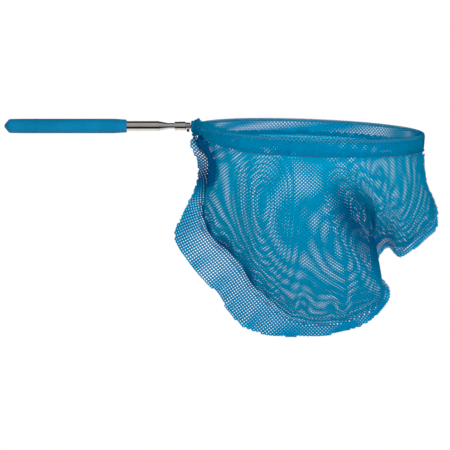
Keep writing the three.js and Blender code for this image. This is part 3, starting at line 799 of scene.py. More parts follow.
# Waves of the raw edge and puckers at the seam, as height and number along the seam, and how far the far end
# of the edge leans back
FLAP_WAVES = (7 * MM, 7)
FLAP_RUFFLE = (2.2 * MM, 17)
FLAP_LEAN = 4 * MM
PUCKERS = (1.3 * MM, 19)

# Edge of the front panel that is turned in at the neck, as shares of the way down and of the seam's length
NECK_FOLD = [(0, 0.05, 0.28, 0.42, 0.77, 1), (0.155, 0.187, 0.205, 0.203, 0.157, 0.125)]


def smoothstep(value, low, high):
    """0 at the low end, 1 at the high end and smooth between them, also where low lies above high."""
    t = np.clip((value - low) / (high - low), 0, 1)
    return t * t * (3 - 2 * t)


def hump(value, centre, width):
    """1 at the centre and falling to 0 on both sides of it."""
    return np.exp(-(((value - centre) / width) ** 2))


def running_sum(steps):
    """How far each point of a line lies along it, from the steps between its points."""
    return np.concatenate([[0], np.cumsum(steps)])


def centripetal(points, stations):
    """Points of a smooth curve through the given points, at station numbers along them."""
    ends = [2 * points[0] - points[1], *points, 2 * points[-1] - points[-2]]
    knots = np.array(ends)
    low = np.clip(np.floor(stations).astype(int), 0, len(points) - 2)
    t = (stations - low)[..., None]
    p0, p1, p2, p3 = (knots[low + i] for i in range(4))
    d0, d1, d2 = (
        np.sqrt(np.linalg.norm(b - a, axis=-1, keepdims=True)) for a, b in ((p0, p1), (p1, p2), (p2, p3))
    )
    m1 = ((p1 - p0) / d0 - (p2 - p0) / (d0 + d1) + (p2 - p1) / d1) * d1
    m2 = ((p2 - p1) / d1 - (p3 - p1) / (d1 + d2) + (p3 - p2) / d2) * d1
    return p1 + t * (m1 + t * (3 * (p2 - p1) - 2 * m1 - m2 + t * (2 * (p1 - p2) + m1 + m2)))


def hung(pattern_point):
    """The place of a point of the outline."""
    right, below = pattern_point
    x = HOOP_CENTRE - HOOP_RADIUS + right * 2 * HOOP_RADIUS / PATTERN_WIDTH
    return np.array([x, 0, -HEM_DEPTH - below * BAG_DEPTH / PATTERN_DEPTH - droop(x)])


SEAM = np.array([hung(seam) for seam, _ in OUTLINE])
EDGE = np.array([hung(edge) for _, edge in OUTLINE])
FINE_STATIONS = np.linspace(0, len(OUTLINE) - 1, 2001)
SEAM_RUN = running_sum(np.linalg.norm(np.diff(centripetal(SEAM, FINE_STATIONS), axis=0), axis=1))


def station_at(share):
    """Station number at a share of the seam's length."""
    return np.interp(share, SEAM_RUN / SEAM_RUN[-1], FINE_STATIONS)


def near_hoop(angle, out, down):
    """A point near the hoop: angle from the pole's end, out from the wire and down below it."""
    x = HOOP_CENTRE - (HOOP_RADIUS + out) * np.cos(angle)
    return np.stack(np.broadcast_arrays(x, (HOOP_RADIUS + out) * np.sin(angle), -down - droop(x)), axis=-1)


def flap_lean(share):
    """How far the raw edge leans out of the seam's plane."""
    fade = hump(share, 0.12, 0.2) * smoothstep(share, 0.02, 0.08)
    height, count = FLAP_WAVES
    waves = height * np.sin(2 * np.pi * count * share) * fade
    height, count = FLAP_RUFFLE
    uneven = 2 * np.sin(2 * np.pi * 3 * share)
    ruffle = height * np.sin(2 * np.pi * count * share + uneven) * smoothstep(share, 0.1, 0.25)
    return waves + ruffle + FLAP_LEAN * smoothstep(share, 0.38, 0.55)


def flap_point(share, across):
    """A point of the flap, where across is 0 at the seam and 1 at the raw edge."""
    station = station_at(share)
    seam, edge = centripetal(SEAM, station), centripetal(EDGE, station)
    place = seam + (edge - seam) * across[..., None]
    place[..., 1] = flap_lean(share) * across**1.5
    return place


def flap_normal(share, across):
    """Direction from the front panel to the back one."""
    step = 0.002
    along = flap_point(np.minimum(share + step, 1), across) - flap_point(np.maximum(share - step, 0), across)
    out = flap_point(share, np.minimum(across + 0.05, 1)) - flap_point(share, np.maximum(across - 0.05, 0))
    normal = np.cross(along, out)
    normal /= np.linalg.norm(normal, axis=-1, keepdims=True)
    return normal * np.where(normal[..., 1:2] < 0, -1, 1)


def fold_in(side, share, drop):
    """How far a panel is pushed in by its folds: 0 is full and 1 is flat."""
    folds, ripples = (FRONT_FOLDS, 4.5) if side < 0 else (BACK_FOLDS, 5.5)
    deep = sum(depth * hump(share, at + lean * drop**1.5, width) for at, lean, width, depth in folds)
    return smoothstep(drop, 0, 0.4) * (deep + 0.06 * np.sin(2 * np.pi * ripples * share + 1))


def panel_points(side, share, down):
    """Points of a panel. Side is -1 for the front and 1 for the back. Down is -1 at the top of the tuck,
    0 at the foot of the hem, 1 at the seam and 2 at the raw edge."""
    share, down = np.broadcast_arrays(share, down)
    margin = PANEL_END_GAP / HOOP_RADIUS
    angle = margin + share * (np.pi - 2 * margin)
    top = near_hoop(side * angle, 0, HEM_DEPTH + np.minimum(down, 0) * HEM_TUCK * 0.9)
    across = np.clip(down - 1, 0, 1)
    drop = np.clip(down, 0, 1)
    apart = flap_normal(share, across) * side * PLIES_APART / 2
    seam = flap_point(share, np.zeros_like(share))
    flap = flap_point(share, across) + apart
    reach = np.cos(np.pi / 2 * drop) ** FULLNESS * (1 - fold_in(side, share, drop))
    body = top + (seam - top) * drop[..., None]
    body[..., 0] = top[..., 0] + (seam[..., 0] - top[..., 0]) * drop**1.3
    body[..., 1] = top[..., 1] * reach
    height, count = PUCKERS
    pucker = np.sin(2 * np.pi * count * share + side) + 0.6 * np.sin(2 * np.pi * 31 * share + 2)
    body[..., 1] += side * height * pucker * hump(drop, 0.9, 0.09) * smoothstep(share, 0.03, 0.15)
    body += apart * smoothstep(drop, 0.5, 1)[..., None]
    return np.where((down > 1)[..., None], flap, np.where((down > 0)[..., None], body, top))


def flatten(points, triangles, start, rounds):
    """Flat places of a mesh's points that keep every triangle as near to its own size as they can."""
    a, b, c = (points[triangles[:, i]] for i in range(3))
    base = np.linalg.norm(b - a, axis=1)
    foot = np.einsum("ij,ij->i", c - a, b - a) / base
    height = np.linalg.norm(np.cross(b - a, c - a), axis=1) / base
    zero = np.zeros_like(base)
    own = np.stack([np.stack([zero, zero], 1), np.stack([base, zero], 1), np.stack([foot, height], 1)], 1)
    pairs = [(0, 1, 2), (1, 2, 0), (2, 0, 1)]
    weights = []
    for i, j, k in pairs:
        u, v = own[:, i] - own[:, k], own[:, j] - own[:, k]
        area = np.maximum(np.abs(u[:, 0] * v[:, 1] - u[:, 1] * v[:, 0]), 1e-12)
        weights.append(np.clip(np.einsum("ij,ij->i", u, v) / area, 0.02, 50))
    count = len(points)
    stiffness = np.zeros((count, count))
    for (i, j, _), weight in zip(pairs, weights):
        p, q = triangles[:, i], triangles[:, j]
        for row, column, sign in ((p, p, 1), (q, q, 1), (p, q, -1), (q, p, -1)):
            np.add.at(stiffness, (row, column), sign * weight)
    stiffness[0, 0] += 1
    solve = np.linalg.inv(stiffness)
    flat = start.copy()
    for _ in range(rounds):
        turn = np.zeros((len(triangles), 2, 2))
        for (i, j, _), weight in zip(pairs, weights):
            placed = flat[triangles[:, i]] - flat[triangles[:, j]]
            turn += weight[:, None, None] * placed[:, :, None] * (own[:, i] - own[:, j])[:, None, :]
        angle = np.arctan2(turn[:, 1, 0] - turn[:, 0, 1], turn[:, 0, 0] + turn[:, 1, 1])
        cos, sin = np.cos(angle), np.sin(angle)
        pull = np.zeros_like(flat)
        for (i, j, _), weight in zip(pairs, weights):
            x, y = (own[:, i] - own[:, j]).T
            force = weight[:, None] * np.stack([cos * x - sin * y, sin * x + cos * y], 1)
            np.add.at(pull, triangles[:, i], force)
            np.add.at(pull, triangles[:, j], -force)
        flat = solve @ pull
    return flat


def grid_triangles(index):
    """Triangles over a grid of point numbers."""
    a, b, c, d = index[:-1, :-1], index[1:, :-1], index[1:, 1:], index[:-1, 1:]
    return np.concatenate([np.stack(s, -1).reshape(-1, 3) for s in ((a, b, c), (a, c, d))])


# Rows down a panel and columns along it: coarse ones for the flat pattern, and fine rows for the surface
COARSE_COLUMNS = 81
BODY_DOWNS = np.concatenate([[-1], np.linspace(0, 1, 13)])
FLAP_DOWNS = np.linspace(1, 2, 4)[1:]
FINE_DOWNS = np.concatenate([[-1, -0.5], np.linspace(0, 1, 81), np.linspace(1, 2, 14)[1:]])


def cut_patterns(settings):
    """The flat places of both panels on a coarse grid. They are sewn together, so they share their flaps."""
    shares = np.linspace(0, 1, COARSE_COLUMNS)[None]
    bodies = {side: panel_points(side, shares, BODY_DOWNS[:, None]) for side in (-1, 1)}
    flap = panel_points(1, shares, FLAP_DOWNS[:, None])
    rows = len(BODY_DOWNS)
    index = np.arange((2 * rows - 1 + len(FLAP_DOWNS)) * COARSE_COLUMNS).reshape(-1, COARSE_COLUMNS)
    front = index[:rows]
    back = np.concatenate([index[rows : 2 * rows - 1], front[-1:]])
    shared = np.concatenate([front[-1:], index[2 * rows - 1 :]])
    points = np.concatenate([bodies[-1], bodies[1][:-1], flap]).reshape(-1, 3)
    triangles = np.concatenate([grid_triangles(sheet) for sheet in (front, back, shared)])
    start = points[:, [0, 2]]
    flat = flatten(points, triangles, start, settings.flatten_rounds)
    top = flat[front[0]]
    turn = -math.atan2(*(top[-1] - top[0])[::-1])
    rotation = np.array([[math.cos(turn), -math.sin(turn)], [math.sin(turn), math.cos(turn)]])
    flat = (flat - top.mean(0)) @ rotation.T
    return {side: flat[np.concatenate([body, shared[1:]])] for side, body in ((-1, front), (1, back))}


def resample(values, old, new):
    """Values at new places along the first axis, on a smooth curve through the old ones."""
    place = np.interp(new, old, np.arange(len(old)))
    low = np.clip(np.floor(place).astype(int), 0, len(old) - 2)
    t = (place - low).reshape(-1, *[1] * (values.ndim - 1))
    ends = [2 * values[:1] - values[1:2], values, 2 * values[-1:] - values[-2:-1]]
    padded = np.concatenate(ends)
    p0, p1, p2, p3 = (padded[low + i] for i in range(4))
    bend, twist = 2 * p0 - 5 * p1 + 4 * p2 - p3, 3 * (p1 - p2) + p3 - p0
    return 0.5 * (2 * p1 + t * (p2 - p0 + t * (bend + t * twist)))


def fabric_cell(settings):
    """One hole of the mesh with the half-threads round it, as a diamond with a blunt diamond in it. The hole
    has its full size here, and shrinks in place."""
    half_across, half_down, relief = settings.across / 2, settings.down / 2, settings.relief / 2
    ends = [(half_across, 0), (0, half_down), (-half_across, 0), (0, -half_down)]
    corners = [(x, y, relief) for x, y in ends]
    near, far = settings.corner, 1 - settings.corner
    quarter = [(far, near), (near, far), (-near, far), (-far, near)]
    shares = quarter + [(-x, -y) for x, y in quarter]
    rim = [(x * half_across, y * half_down, -relief) for x, y in shares]
    faces = []
    for k in range(4):
        before, after, far_corner = 4 + (2 * k - 1) % 8, 4 + 2 * k, 4 + 2 * k + 1
        faces += [(k, after, before), (k, (k + 1) % 4, far_corner, after)]
    mesh = mesh_from(corners + rim, faces)
    outward = np.array([(0, 0, 0)] * 4 + [(x, y, 0) for x, y, _ in rim], np.float32)
    mesh.attributes.new("rim", "FLOAT_VECTOR", "POINT").data.foreach_set("vector", outward.reshape(-1))
    return mesh


def attribute(tree, name, kind="FLOAT_VECTOR"):
    """A named value that the mesh carries."""
    found = add_node(tree, "GeometryNodeInputNamedAttribute", {"Name": name}, data_type=kind)
    return found.outputs["Attribute"]


def without_points(tree, geometry, selection):
    """The geometry without the points that are selected."""
    inputs = {"Geometry": geometry, "Selection": selection}
    return add_node(tree, "GeometryNodeDeleteGeometry", inputs, domain="POINT", mode="ALL").outputs[0]


def end_tree(tree, given, made, geometry):
    """Ends a tree: the geometry is made real, gets the material and is handed out."""
    real = add_node(tree, "GeometryNodeRealizeInstances", {"Geometry": geometry})
    inputs = {"Geometry": real.outputs[0], "Material": given.outputs["Material"]}
    dressed = add_node(tree, "GeometryNodeSetMaterial", inputs)
    tree.links.new(dressed.outputs[0], made.inputs[0])


def staggered_cells(tree, given, place):
    """Cells in staggered rows that span the flat pattern."""

    def count(size, pitch):
        """An odd number of lattice points that spans the size."""
        halves = maths(tree, "CEIL", maths(tree, "DIVIDE", size, maths(tree, "MULTIPLY", pitch, 2.0)))
        return maths(tree, "MULTIPLY_ADD", halves, 2.0, 1.0)

    def spanned(number, pitch):
        return maths(tree, "MULTIPLY", maths(tree, "SUBTRACT", number, 1.0), pitch)

    across, row_step = given.outputs["Across"], maths(tree, "MULTIPLY", given.outputs["Down"], 0.5)
    columns = count(given.outputs["Width"], across)
    rows = count(given.outputs["Depth"], row_step)
    sizes = {"Size X": spanned(columns, across), "Size Y": spanned(rows, row_step)}
    grid = add_node(tree, "GeometryNodeMeshGrid", {**sizes, "Vertices X": columns, "Vertices Y": rows})
    y = add_node(tree, "ShaderNodeSeparateXYZ", {0: place}).outputs["Y"]
    row = maths(tree, "ROUND", maths(tree, "DIVIDE", y, row_step))
    odd = maths(tree, "FLOORED_MODULO", row, 2.0)
    shift = maths(tree, "MULTIPLY", odd, maths(tree, "MULTIPLY", across, 0.5))
    stagger = add_node(tree, "ShaderNodeCombineXYZ", {"X": shift}).outputs[0]
    offset = vector_maths(tree, "ADD", stagger, given.outputs["Middle"])
    lattice = add_node(tree, "GeometryNodeSetPosition", {"Geometry": grid.outputs["Mesh"], "Offset": offset})
    cell = add_node(tree, "GeometryNodeObjectInfo", {"Object": given.outputs["Cell"]})
    laid = {"Points": lattice.outputs[0], "Instance": cell.outputs["Geometry"]}
    cells = add_node(tree, "GeometryNodeInstanceOnPoints", laid)
    return add_node(tree, "GeometryNodeRealizeInstances", {"Geometry": cells.outputs[0]}).outputs[0]


def perforation_tree():
    """Geometry Nodes that lay cells in staggered rows over the flat pattern and hang them in the cloth."""
    tree, given, made = node_group(
        "net_perforations",
        {
            "Geometry": "NodeSocketGeometry",
            "Cell": "NodeSocketObject",
            "Across": "NodeSocketFloat",
            "Down": "NodeSocketFloat",
            "Width": "NodeSocketFloat",
            "Depth": "NodeSocketFloat",
            "Middle": "NodeSocketVector",
            "Material": "NodeSocketMaterial",
        },
    )
    place = add_node(tree, "GeometryNodeInputPosition").outputs[0]
    flat = attribute(tree, FLAT_MAP)

    def sampled(value, kind="FLOAT_VECTOR"):
        """A value of the hanging cloth at the same place of the flat pattern."""
        inputs = {"Mesh": given.outputs["Geometry"], "Value": value}
        inputs |= {"Source UV Map": flat, "Sample UV": place}
        return add_node(tree, "GeometryNodeSampleUVSurface", inputs, data_type=kind)

    cells = staggered_cells(tree, given, place)
    size = sampled(attribute(tree, "hole_size", "FLOAT"), "FLOAT").outputs["Value"]
    shrink = vector_maths(tree, "SCALE", attribute(tree, "rim"), maths(tree, "SUBTRACT", size, 1.0))
    sized = add_node(tree, "GeometryNodeSetPosition", {"Geometry": cells, "Offset": shrink})
    weld = {"Geometry": sized.outputs[0], "Distance": 0.01 * MM}
    joined = add_node(tree, "GeometryNodeMergeByDistance", weld)
    hanging = sampled(place)
    normal = sampled(add_node(tree, "GeometryNodeInputNormal").outputs[0]).outputs["Value"]
    held = add_node(
        tree,
        "GeometryNodeStoreNamedAttribute",
        {"Geometry": joined.outputs[0], "Name": FLAT_MAP, "Value": place},
        data_type="FLOAT2",
        domain="CORNER",
    )
    # Painted shade of the hanging surface, kept on the mesh for its colour
    packed = sampled(attribute(tree, "packed", "FLOAT"), "FLOAT").outputs["Value"]
    noted = add_node(
        tree,
        "GeometryNodeStoreNamedAttribute",
        {"Geometry": held.outputs[0], "Name": "packed", "Value": packed},
        data_type="FLOAT",
        domain="POINT",
    )
    outside = add_node(tree, "FunctionNodeBooleanMath", {0: hanging.outputs["Is Valid"]}, operation="NOT")
    inside = without_points(tree, noted.outputs[0], outside.outputs[0])
    height = add_node(tree, "ShaderNodeSeparateXYZ", {0: place}).outputs["Z"]
    raised = vector_maths(tree, "ADD", hanging.outputs["Value"], vector_maths(tree, "SCALE", normal, height))
    hung_up = add_node(tree, "GeometryNodeSetPosition", {"Geometry": inside, "Position": raised})
    faces = add_node(tree, "GeometryNodeInputMeshVertexNeighbors").outputs["Face Count"]
    loose = add_node(tree, "FunctionNodeCompare", {2: faces, 3: 0}, data_type="INT", operation="EQUAL")
    end_tree(tree, given, made, without_points(tree, hung_up.outputs[0], loose.outputs[0]))
    return tree


def knitted(name, surface, settings, material):
    """A perforated mesh object that hangs in a surface with a flat pattern."""
    layer = surface.uv_layers[FLAT_MAP]
    flat = np.zeros(len(layer.data) * 2)
    layer.data.foreach_get("uv", flat)
    low, high = flat.reshape(-1, 2).min(0), flat.reshape(-1, 2).max(0)
    repeat = np.array([settings.across, settings.down])
    middle = np.round((low + high) / 2 / repeat) * repeat
    cell = show("fabric_cell", fabric_cell(settings))
    carrier = show(name + "_surface", surface)
    tree = bpy.data.node_groups.get("net_perforations") or perforation_tree()
    node_modifier(
        carrier,
        tree,
        {
            "Cell": cell,
            "Across": settings.across,
            "Down": settings.down,
            "Width": float(high[0] - low[0] + 2 * repeat[0]),
            "Depth": float(high[1] - low[1] + 2 * repeat[1]),
            "Middle": (float(middle[0]), float(middle[1]), 0.0),
            "Material": material,
        },
    )
    piece = baked(carrier, name)
    bpy.data.objects.remove(cell)
    piece.data.shade_smooth()
    return piece, high - low


# Places along the seam, as shares of its length from the pole's end: where the flap hangs loose, where it
# starts to lie closer, where it is pinched together, its loose corners and its bunched start
FLAP_LOOSE = (0.48, 0.3)
FLAP_CLOSER = (0.26, 0.36)
FLAP_PINCH = 0.165
LOOSE_CORNERS = ((0.7, 0.04), (0.83, 0.05))
FLAP_START = (0.045, 0.025)

# Holes of the front and back panel against the set size
FRONT_HOLES = 1.16
BACK_HOLES = 0.84


def hole_sizes(settings, side, share, down):
    """How far the holes are open at places of a panel: wide where the flap hangs loose in one ply, and small
    where the mesh is bunched."""
    frayed = smoothstep(share, *FLAP_LOOSE) * (1 - 0.95 * hump(share, FLAP_PINCH, 0.045))
    frayed *= 1 - 0.35 * smoothstep(share, *FLAP_CLOSER)
    frayed += sum(0.8 * hump(share, at, width) for at, width in LOOSE_CORNERS)
    loose = smoothstep(down, 0.97, 1.12) * np.clip(frayed, 0, 1)
    doubled = smoothstep(down, 0.98, 1.1) * (1 - loose + 0.9 * hump(share, FLAP_PINCH, 0.036))
    doubled = doubled + 1.4 * smoothstep(share, *FLAP_START) * (down > 1)
    body_hole = settings.hole * (FRONT_HOLES if side < 0 else BACK_HOLES)
    open_hole = body_hole + (settings.flap_hole - body_hole) * loose
    open_hole = open_hole + (settings.doubled_hole - open_hole) * np.clip(doubled, 0, 1)
    under_hem = 0.55 * smoothstep(down, 0.08, 0.02) * (side > 0)
    dotted = 0.2 * smoothstep(share, 0.24, 0.2) * smoothstep(down, 0.02, 0.1) * (down <= 1)
    return open_hole * (1 + dotted - np.clip(under_hem + 0.22 * packing_and_painted_shade(side, share, down), 0, 0.7))


def packing_and_painted_shade(side, share, down):
    """How much the mesh is bunched, which shrinks its holes, and darkened by painted shade at places of a
    panel:
    in its main fold, at the neck and at the seam."""
    drop = np.clip(down, 0, 1)
    # Painted shade and bunching in the hollow at the neck and in the flap's top
    neck = np.where(down <= 1, neck_packing_and_painted_shade(side, share, drop), flap_packing_and_painted_shade(share, down - 1))
    # Painted shadow along the puckered seam, which also shrinks the holes there
    uneven = 2 * np.sin(2 * np.pi * 5 * share)
    gathers = 0.5 + 0.5 * np.sin(2 * np.pi * PUCKERS[1] * share + uneven)
    seam = hump(down, 0.97, 0.05 + 0.03 * gathers) * smoothstep(share, 0.44, 0.3) * (0.45 + 0.55 * gathers)
    # Painted shade in the front panel's main fold, added to the neck and the seam
    return np.clip(valley_packing_and_painted_shade(share, down) * (side < 0) + neck + seam, 0, 1)


def valley_packing_and_painted_shade(share, down):
    """How much the front panel is bunched and darkened by painted shade in its main fold."""
    at, lean, width, _ = FRONT_FOLDS[0]
    middle = at - 0.01 + lean * np.clip(down, 0, 1) ** 1.5
    return 0.8 * hump(share, middle, width * 1.2) * smoothstep(down, 0.05, 0.45) * (down <= 1.02)


def neck_packing_and_painted_shade(side, share, drop):
    """How much a panel is bunched and darkened by painted shade at the neck, behind the edge that is turned
    in.
    """
    if side > 0:
        return smoothstep(share + 0.14 * drop, 0.3, 0.22)
    edge = np.interp(drop, *NECK_FOLD)
    return 0.85 * smoothstep(share, edge, edge - 0.008)


def flap_packing_and_painted_shade(share, across):
    """How much the flap is bunched and darkened by painted shade below the neck."""
    folded = np.maximum(smoothstep(np.clip(across, 0, 1), 0.6, 0.3), hump(share, 0.105, 0.022))
    return 0.9 * smoothstep(share, 0.15, 0.12) * np.maximum(folded, smoothstep(share, 0.05, 0.02))


def make_panels(settings):
    """The two panels of the bag, each knitted in its hanging surface from its own flat pattern."""
    material = net_fabric(settings)
    patterns = cut_patterns(settings)
    coarse_downs = np.concatenate([BODY_DOWNS, FLAP_DOWNS])
    coarse_shares = np.linspace(0, 1, COARSE_COLUMNS)
    columns = int(SEAM_RUN[-1] / settings.surface_step) + 1
    shares = np.linspace(0, 1, columns)
    for side, name in ((-1, "front_panel"), (1, "back_panel")):
        places = (side, shares[None], FINE_DOWNS[:, None])
        rows = resample(patterns[side], coarse_downs, FINE_DOWNS)
        flat = resample(rows.transpose(1, 0, 2), coarse_shares, shares).transpose(1, 0, 2)
        # The surface carries the size of its holes and its painted shade
        surface = grid_mesh(panel_points(*places), flat, hole_sizes(settings, *places), packing_and_painted_shade(*places))
        if side < 0:
            surface.flip_normals()
        piece, size = knitted(f"mesh_{name}", surface, settings, material)
        finish_piece(piece, "head", None, [name])


# Hem

HEM_PLY = 0.6 * MM
HEM_MOUTH = 0.85 * MM
HEM_POCKET = 8 * MM
HEM_WIRE_GAP = 0.35 * MM
NECK_HALF = 8.85 * MM
HEM_START = math.asin(NECK_HALF / HOOP_RADIUS)
STITCH_DOWN = HEM_DEPTH - 1.6 * MM

# Places round the hem where its shape is set
HEM_COLUMNS = 600

# Ends of the hem at the neck, as how far they are bunched and the angles where that starts and is full
FAR_BUNCH = (0.35, math.radians(18), math.radians(6))
NEAR_BUNCH = (0.34, math.radians(27), math.radians(17))

# How far the near end is drawn up, and the angles where that starts and is full
NEAR_LIFT = (5 * MM, math.radians(66), math.radians(16))

# Bunched cloth: how far it swells out, and the heights of its creases and lumps
BUNCH_SWELL = 4 * MM
BUNCH_CREASES = (0.9 * MM, 0.6 * MM)
BUNCH_LUMPS = 2.4 * MM


def hem_section():
    """The hem's middle line from its outer raw edge over the wire to the inner one, as (out, down)."""
    radius = WIRE_RADIUS + HEM_WIRE_GAP + HEM_PLY / 2
    half = HEM_MOUTH + HEM_PLY / 2
    flare, pinch, belly = 0.25 * MM, 0.2 * MM, 0.35 * MM
    side = [(half + flare, HEM_DEPTH), (half - pinch, STITCH_DOWN), (half + belly, HEM_POCKET)]
    arch = [(radius * math.cos(a), -radius * math.sin(a)) for a in np.linspace(0, math.pi, 9)]
    line = np.array(side + arch + [(-out, down) for out, down in reversed(side)])
    return centripetal(line, np.linspace(0, len(line) - 1, 60))


def bunching(angle):
    """How far the hem is bunched at an angle from the pole's end, where 0 is flat. The near side lies past a
    half turn."""
    far, far_start, far_full = FAR_BUNCH
    near, near_start, near_full = NEAR_BUNCH
    back = 2 * np.pi - angle
    return far * smoothstep(angle, far_start, far_full) + near * smoothstep(back, near_start, near_full)


def hem_lift(angle):
    """How far the near end of the hem is drawn up to the gather."""
    lift, start, full = NEAR_LIFT
    return lift * smoothstep(2 * np.pi - angle, start, full)


def make_hem(settings):
    """The hem: a strip folded over the wire, with wider holes along the fold, and bunched at the neck."""
    material = net_fabric(settings)
    section = hem_section()
    run = running_sum(np.linalg.norm(np.diff(section, axis=0), axis=1))
    angles = np.linspace(HEM_START, 2 * math.pi - HEM_START, HEM_COLUMNS)
    turn = angles[None]
    bunch = bunching(turn)
    out, down = section[:, 0][:, None], section[:, 1][:, None]
    v = (run - run[-1] / 2)[:, None]
    swell = np.sign(out) * BUNCH_SWELL * np.sin(np.pi * np.clip(down / HEM_DEPTH, 0, 1)) ** 0.7
    steep, slack = BUNCH_CREASES
    crease = steep * np.sin(900 * v + 40 * turn) + slack * np.sin(600 * v - 75 * turn)
    shape_out = out + bunch * (swell + crease)
    lumps = np.sin(500 * v + 55 * turn) + 0.7 * np.sin(34 * turn - 260 * v)
    shape_down = down * (1 - bunch) + bunch * BUNCH_LUMPS * lumps - hem_lift(angles)
    points = near_hoop(turn, shape_out, shape_down)
    u = (angles - math.pi) * HOOP_RADIUS
    flat = np.stack(np.broadcast_arrays(u[None] + 0.16 * np.maximum(v, 0), -v), axis=-1)
    fold = hump(v, 0, 2 * MM)
    far = smoothstep(np.sin(turn), -0.05, 0.05)
    holes = settings.hem_hole + (0.3 * fold + 0.1 * far * (1 - fold)) * (1 - np.clip(2 * bunch, 0, 1))
    surface = grid_mesh(points, flat, holes)
    piece, size = knitted("mesh_hem", surface, settings, material)
    finish_piece(piece, "head", None, ["hem_sleeve"])


# Stitching


# Rows of stitches: where the hem's row starts on the far side and ends on the near side, as angles from the
# neck, the margin of the seam's row along the seam and its place across the flap, how far a thread stands off
# the cloth as a share of its radius, and half of a ply
HEM_ROW_START = math.radians(18)
HEM_ROW_END = math.radians(30)
SEAM_ROW_MARGIN = 0.03
SEAM_ROW_ACROSS = 0.12
THREAD_STAND_OFF = 0.6
CLOTH_HALF = 0.2 * MM


def stitch_mesh(settings):
    """One stitch along X: a short thread that dips into the cloth at both ends."""
    steps, top, dip = 5, 0.9, 1.9
    path = []
    for i in range(steps + 1):
        t = i / steps * 2 - 1
        path.append((t * settings.length / 2, 0, settings.radius * (top - dip * t**4)))
    return smoothed(swept(path, settings.radius, sides=6), sharp_over=60)


def stitch_tree():
    """Geometry Nodes that lay stitches end to end along a line, turned to its direction and normal."""
    tree, given, made = node_group(
        "net_stitches",
        {
            "Geometry": "NodeSocketGeometry",
            "Stitch": "NodeSocketObject",
            "Spacing": "NodeSocketFloat",
            "Material": "NodeSocketMaterial",
        },
    )
    line = add_node(tree, "GeometryNodeMeshToCurve", {"Mesh": given.outputs["Geometry"]})
    spacing = {"Curve": line.outputs[0], "Length": given.outputs["Spacing"]}
    spaced = add_node(tree, "GeometryNodeResampleCurve", spacing, mode="LENGTH")
    tangent = add_node(tree, "GeometryNodeInputTangent").outputs[0]
    along = add_node(tree, "FunctionNodeAlignRotationToVector", {"Vector": tangent}, axis="X")
    aims = {"Rotation": along.outputs[0], "Vector": attribute(tree, "outward")}
    facing = add_node(tree, "FunctionNodeAlignRotationToVector", aims, axis="Z", pivot_axis="X")
    stitch = add_node(tree, "GeometryNodeObjectInfo", {"Object": given.outputs["Stitch"]}).outputs["Geometry"]
    laid = {"Points": spaced.outputs[0], "Instance": stitch, "Rotation": facing.outputs[0]}
    end_tree(tree, given, made, add_node(tree, "GeometryNodeInstanceOnPoints", laid).outputs[0])
    return tree


def sewn(name, path, outward, settings, material):
    """A row of stitches along a path, facing outward."""
    mesh = bpy.data.meshes.new(name)
    mesh.from_pydata([tuple(map(float, p)) for p in path], [(i, i + 1) for i in range(len(path) - 1)], [])
    attribute = mesh.attributes.new("outward", "FLOAT_VECTOR", "POINT")
    attribute.data.foreach_set("vector", np.asarray(outward, np.float32).reshape(-1))
    stitch = show("single_stitch", stitch_mesh(settings))
    carrier = show(name + "_line", mesh)
    tree = bpy.data.node_groups.get("net_stitches") or stitch_tree()
    node_modifier(
        carrier, tree, {"Stitch": stitch, "Spacing": settings.length + settings.gap, "Material": material}
    )
    piece = baked(carrier, name)
    bpy.data.objects.remove(stitch)
    return piece


def make_stitching(settings):
    """The row of stitches that closes the hem and the row that joins the panels."""
    material = thread_material(settings)
    off_cloth = settings.radius * THREAD_STAND_OFF
    angles = np.linspace(HEM_ROW_START, 2 * math.pi - HEM_ROW_END, 700)
    path = near_hoop(angles, HEM_MOUTH + HEM_PLY / 2 + off_cloth, STITCH_DOWN)
    outward = np.stack([-np.cos(angles), np.sin(angles), np.zeros_like(angles)], axis=-1)
    piece = sewn("hem_stitches", path, outward, settings, material)
    finish_piece(piece, "head", None, ["hem_thread"])

    shares = np.linspace(SEAM_ROW_MARGIN, 1 - SEAM_ROW_MARGIN, 900)
    across = np.full_like(shares, SEAM_ROW_ACROSS)
    normal = flap_normal(shares, across)
    path = flap_point(shares, across) - normal * (PLIES_APART / 2 + CLOTH_HALF + off_cloth)
    piece = sewn("seam_stitches", path, -normal, settings, material)
    finish_piece(piece, "head", None, ["seam_thread"])


# Gather at the neck

GATHER_START, GATHER_END = extent("neck_gather", 0)

# Sizes of the bunch in millimetres: its half width at the pole, what it gains by its fullest ring to the
# sides, below and above, the peak on top and the sag below
GATHER_HALF = 4.9
GATHER_WIDER = 2.8
GATHER_LOWER = 2.3
GATHER_HIGHER = -0.5
GATHER_PEAK = 2.8
GATHER_SAG = 1.7

# Its fullest ring, the end of its drawn-in mouth and the place of the sag, as shares of its length
GATHER_FULL = 0.7
GATHER_MOUTH = 0.16
GATHER_SAG_AT = 0.5

# How far the lining lies inside the mesh, in millimetres
LINING_INSET = 0.5


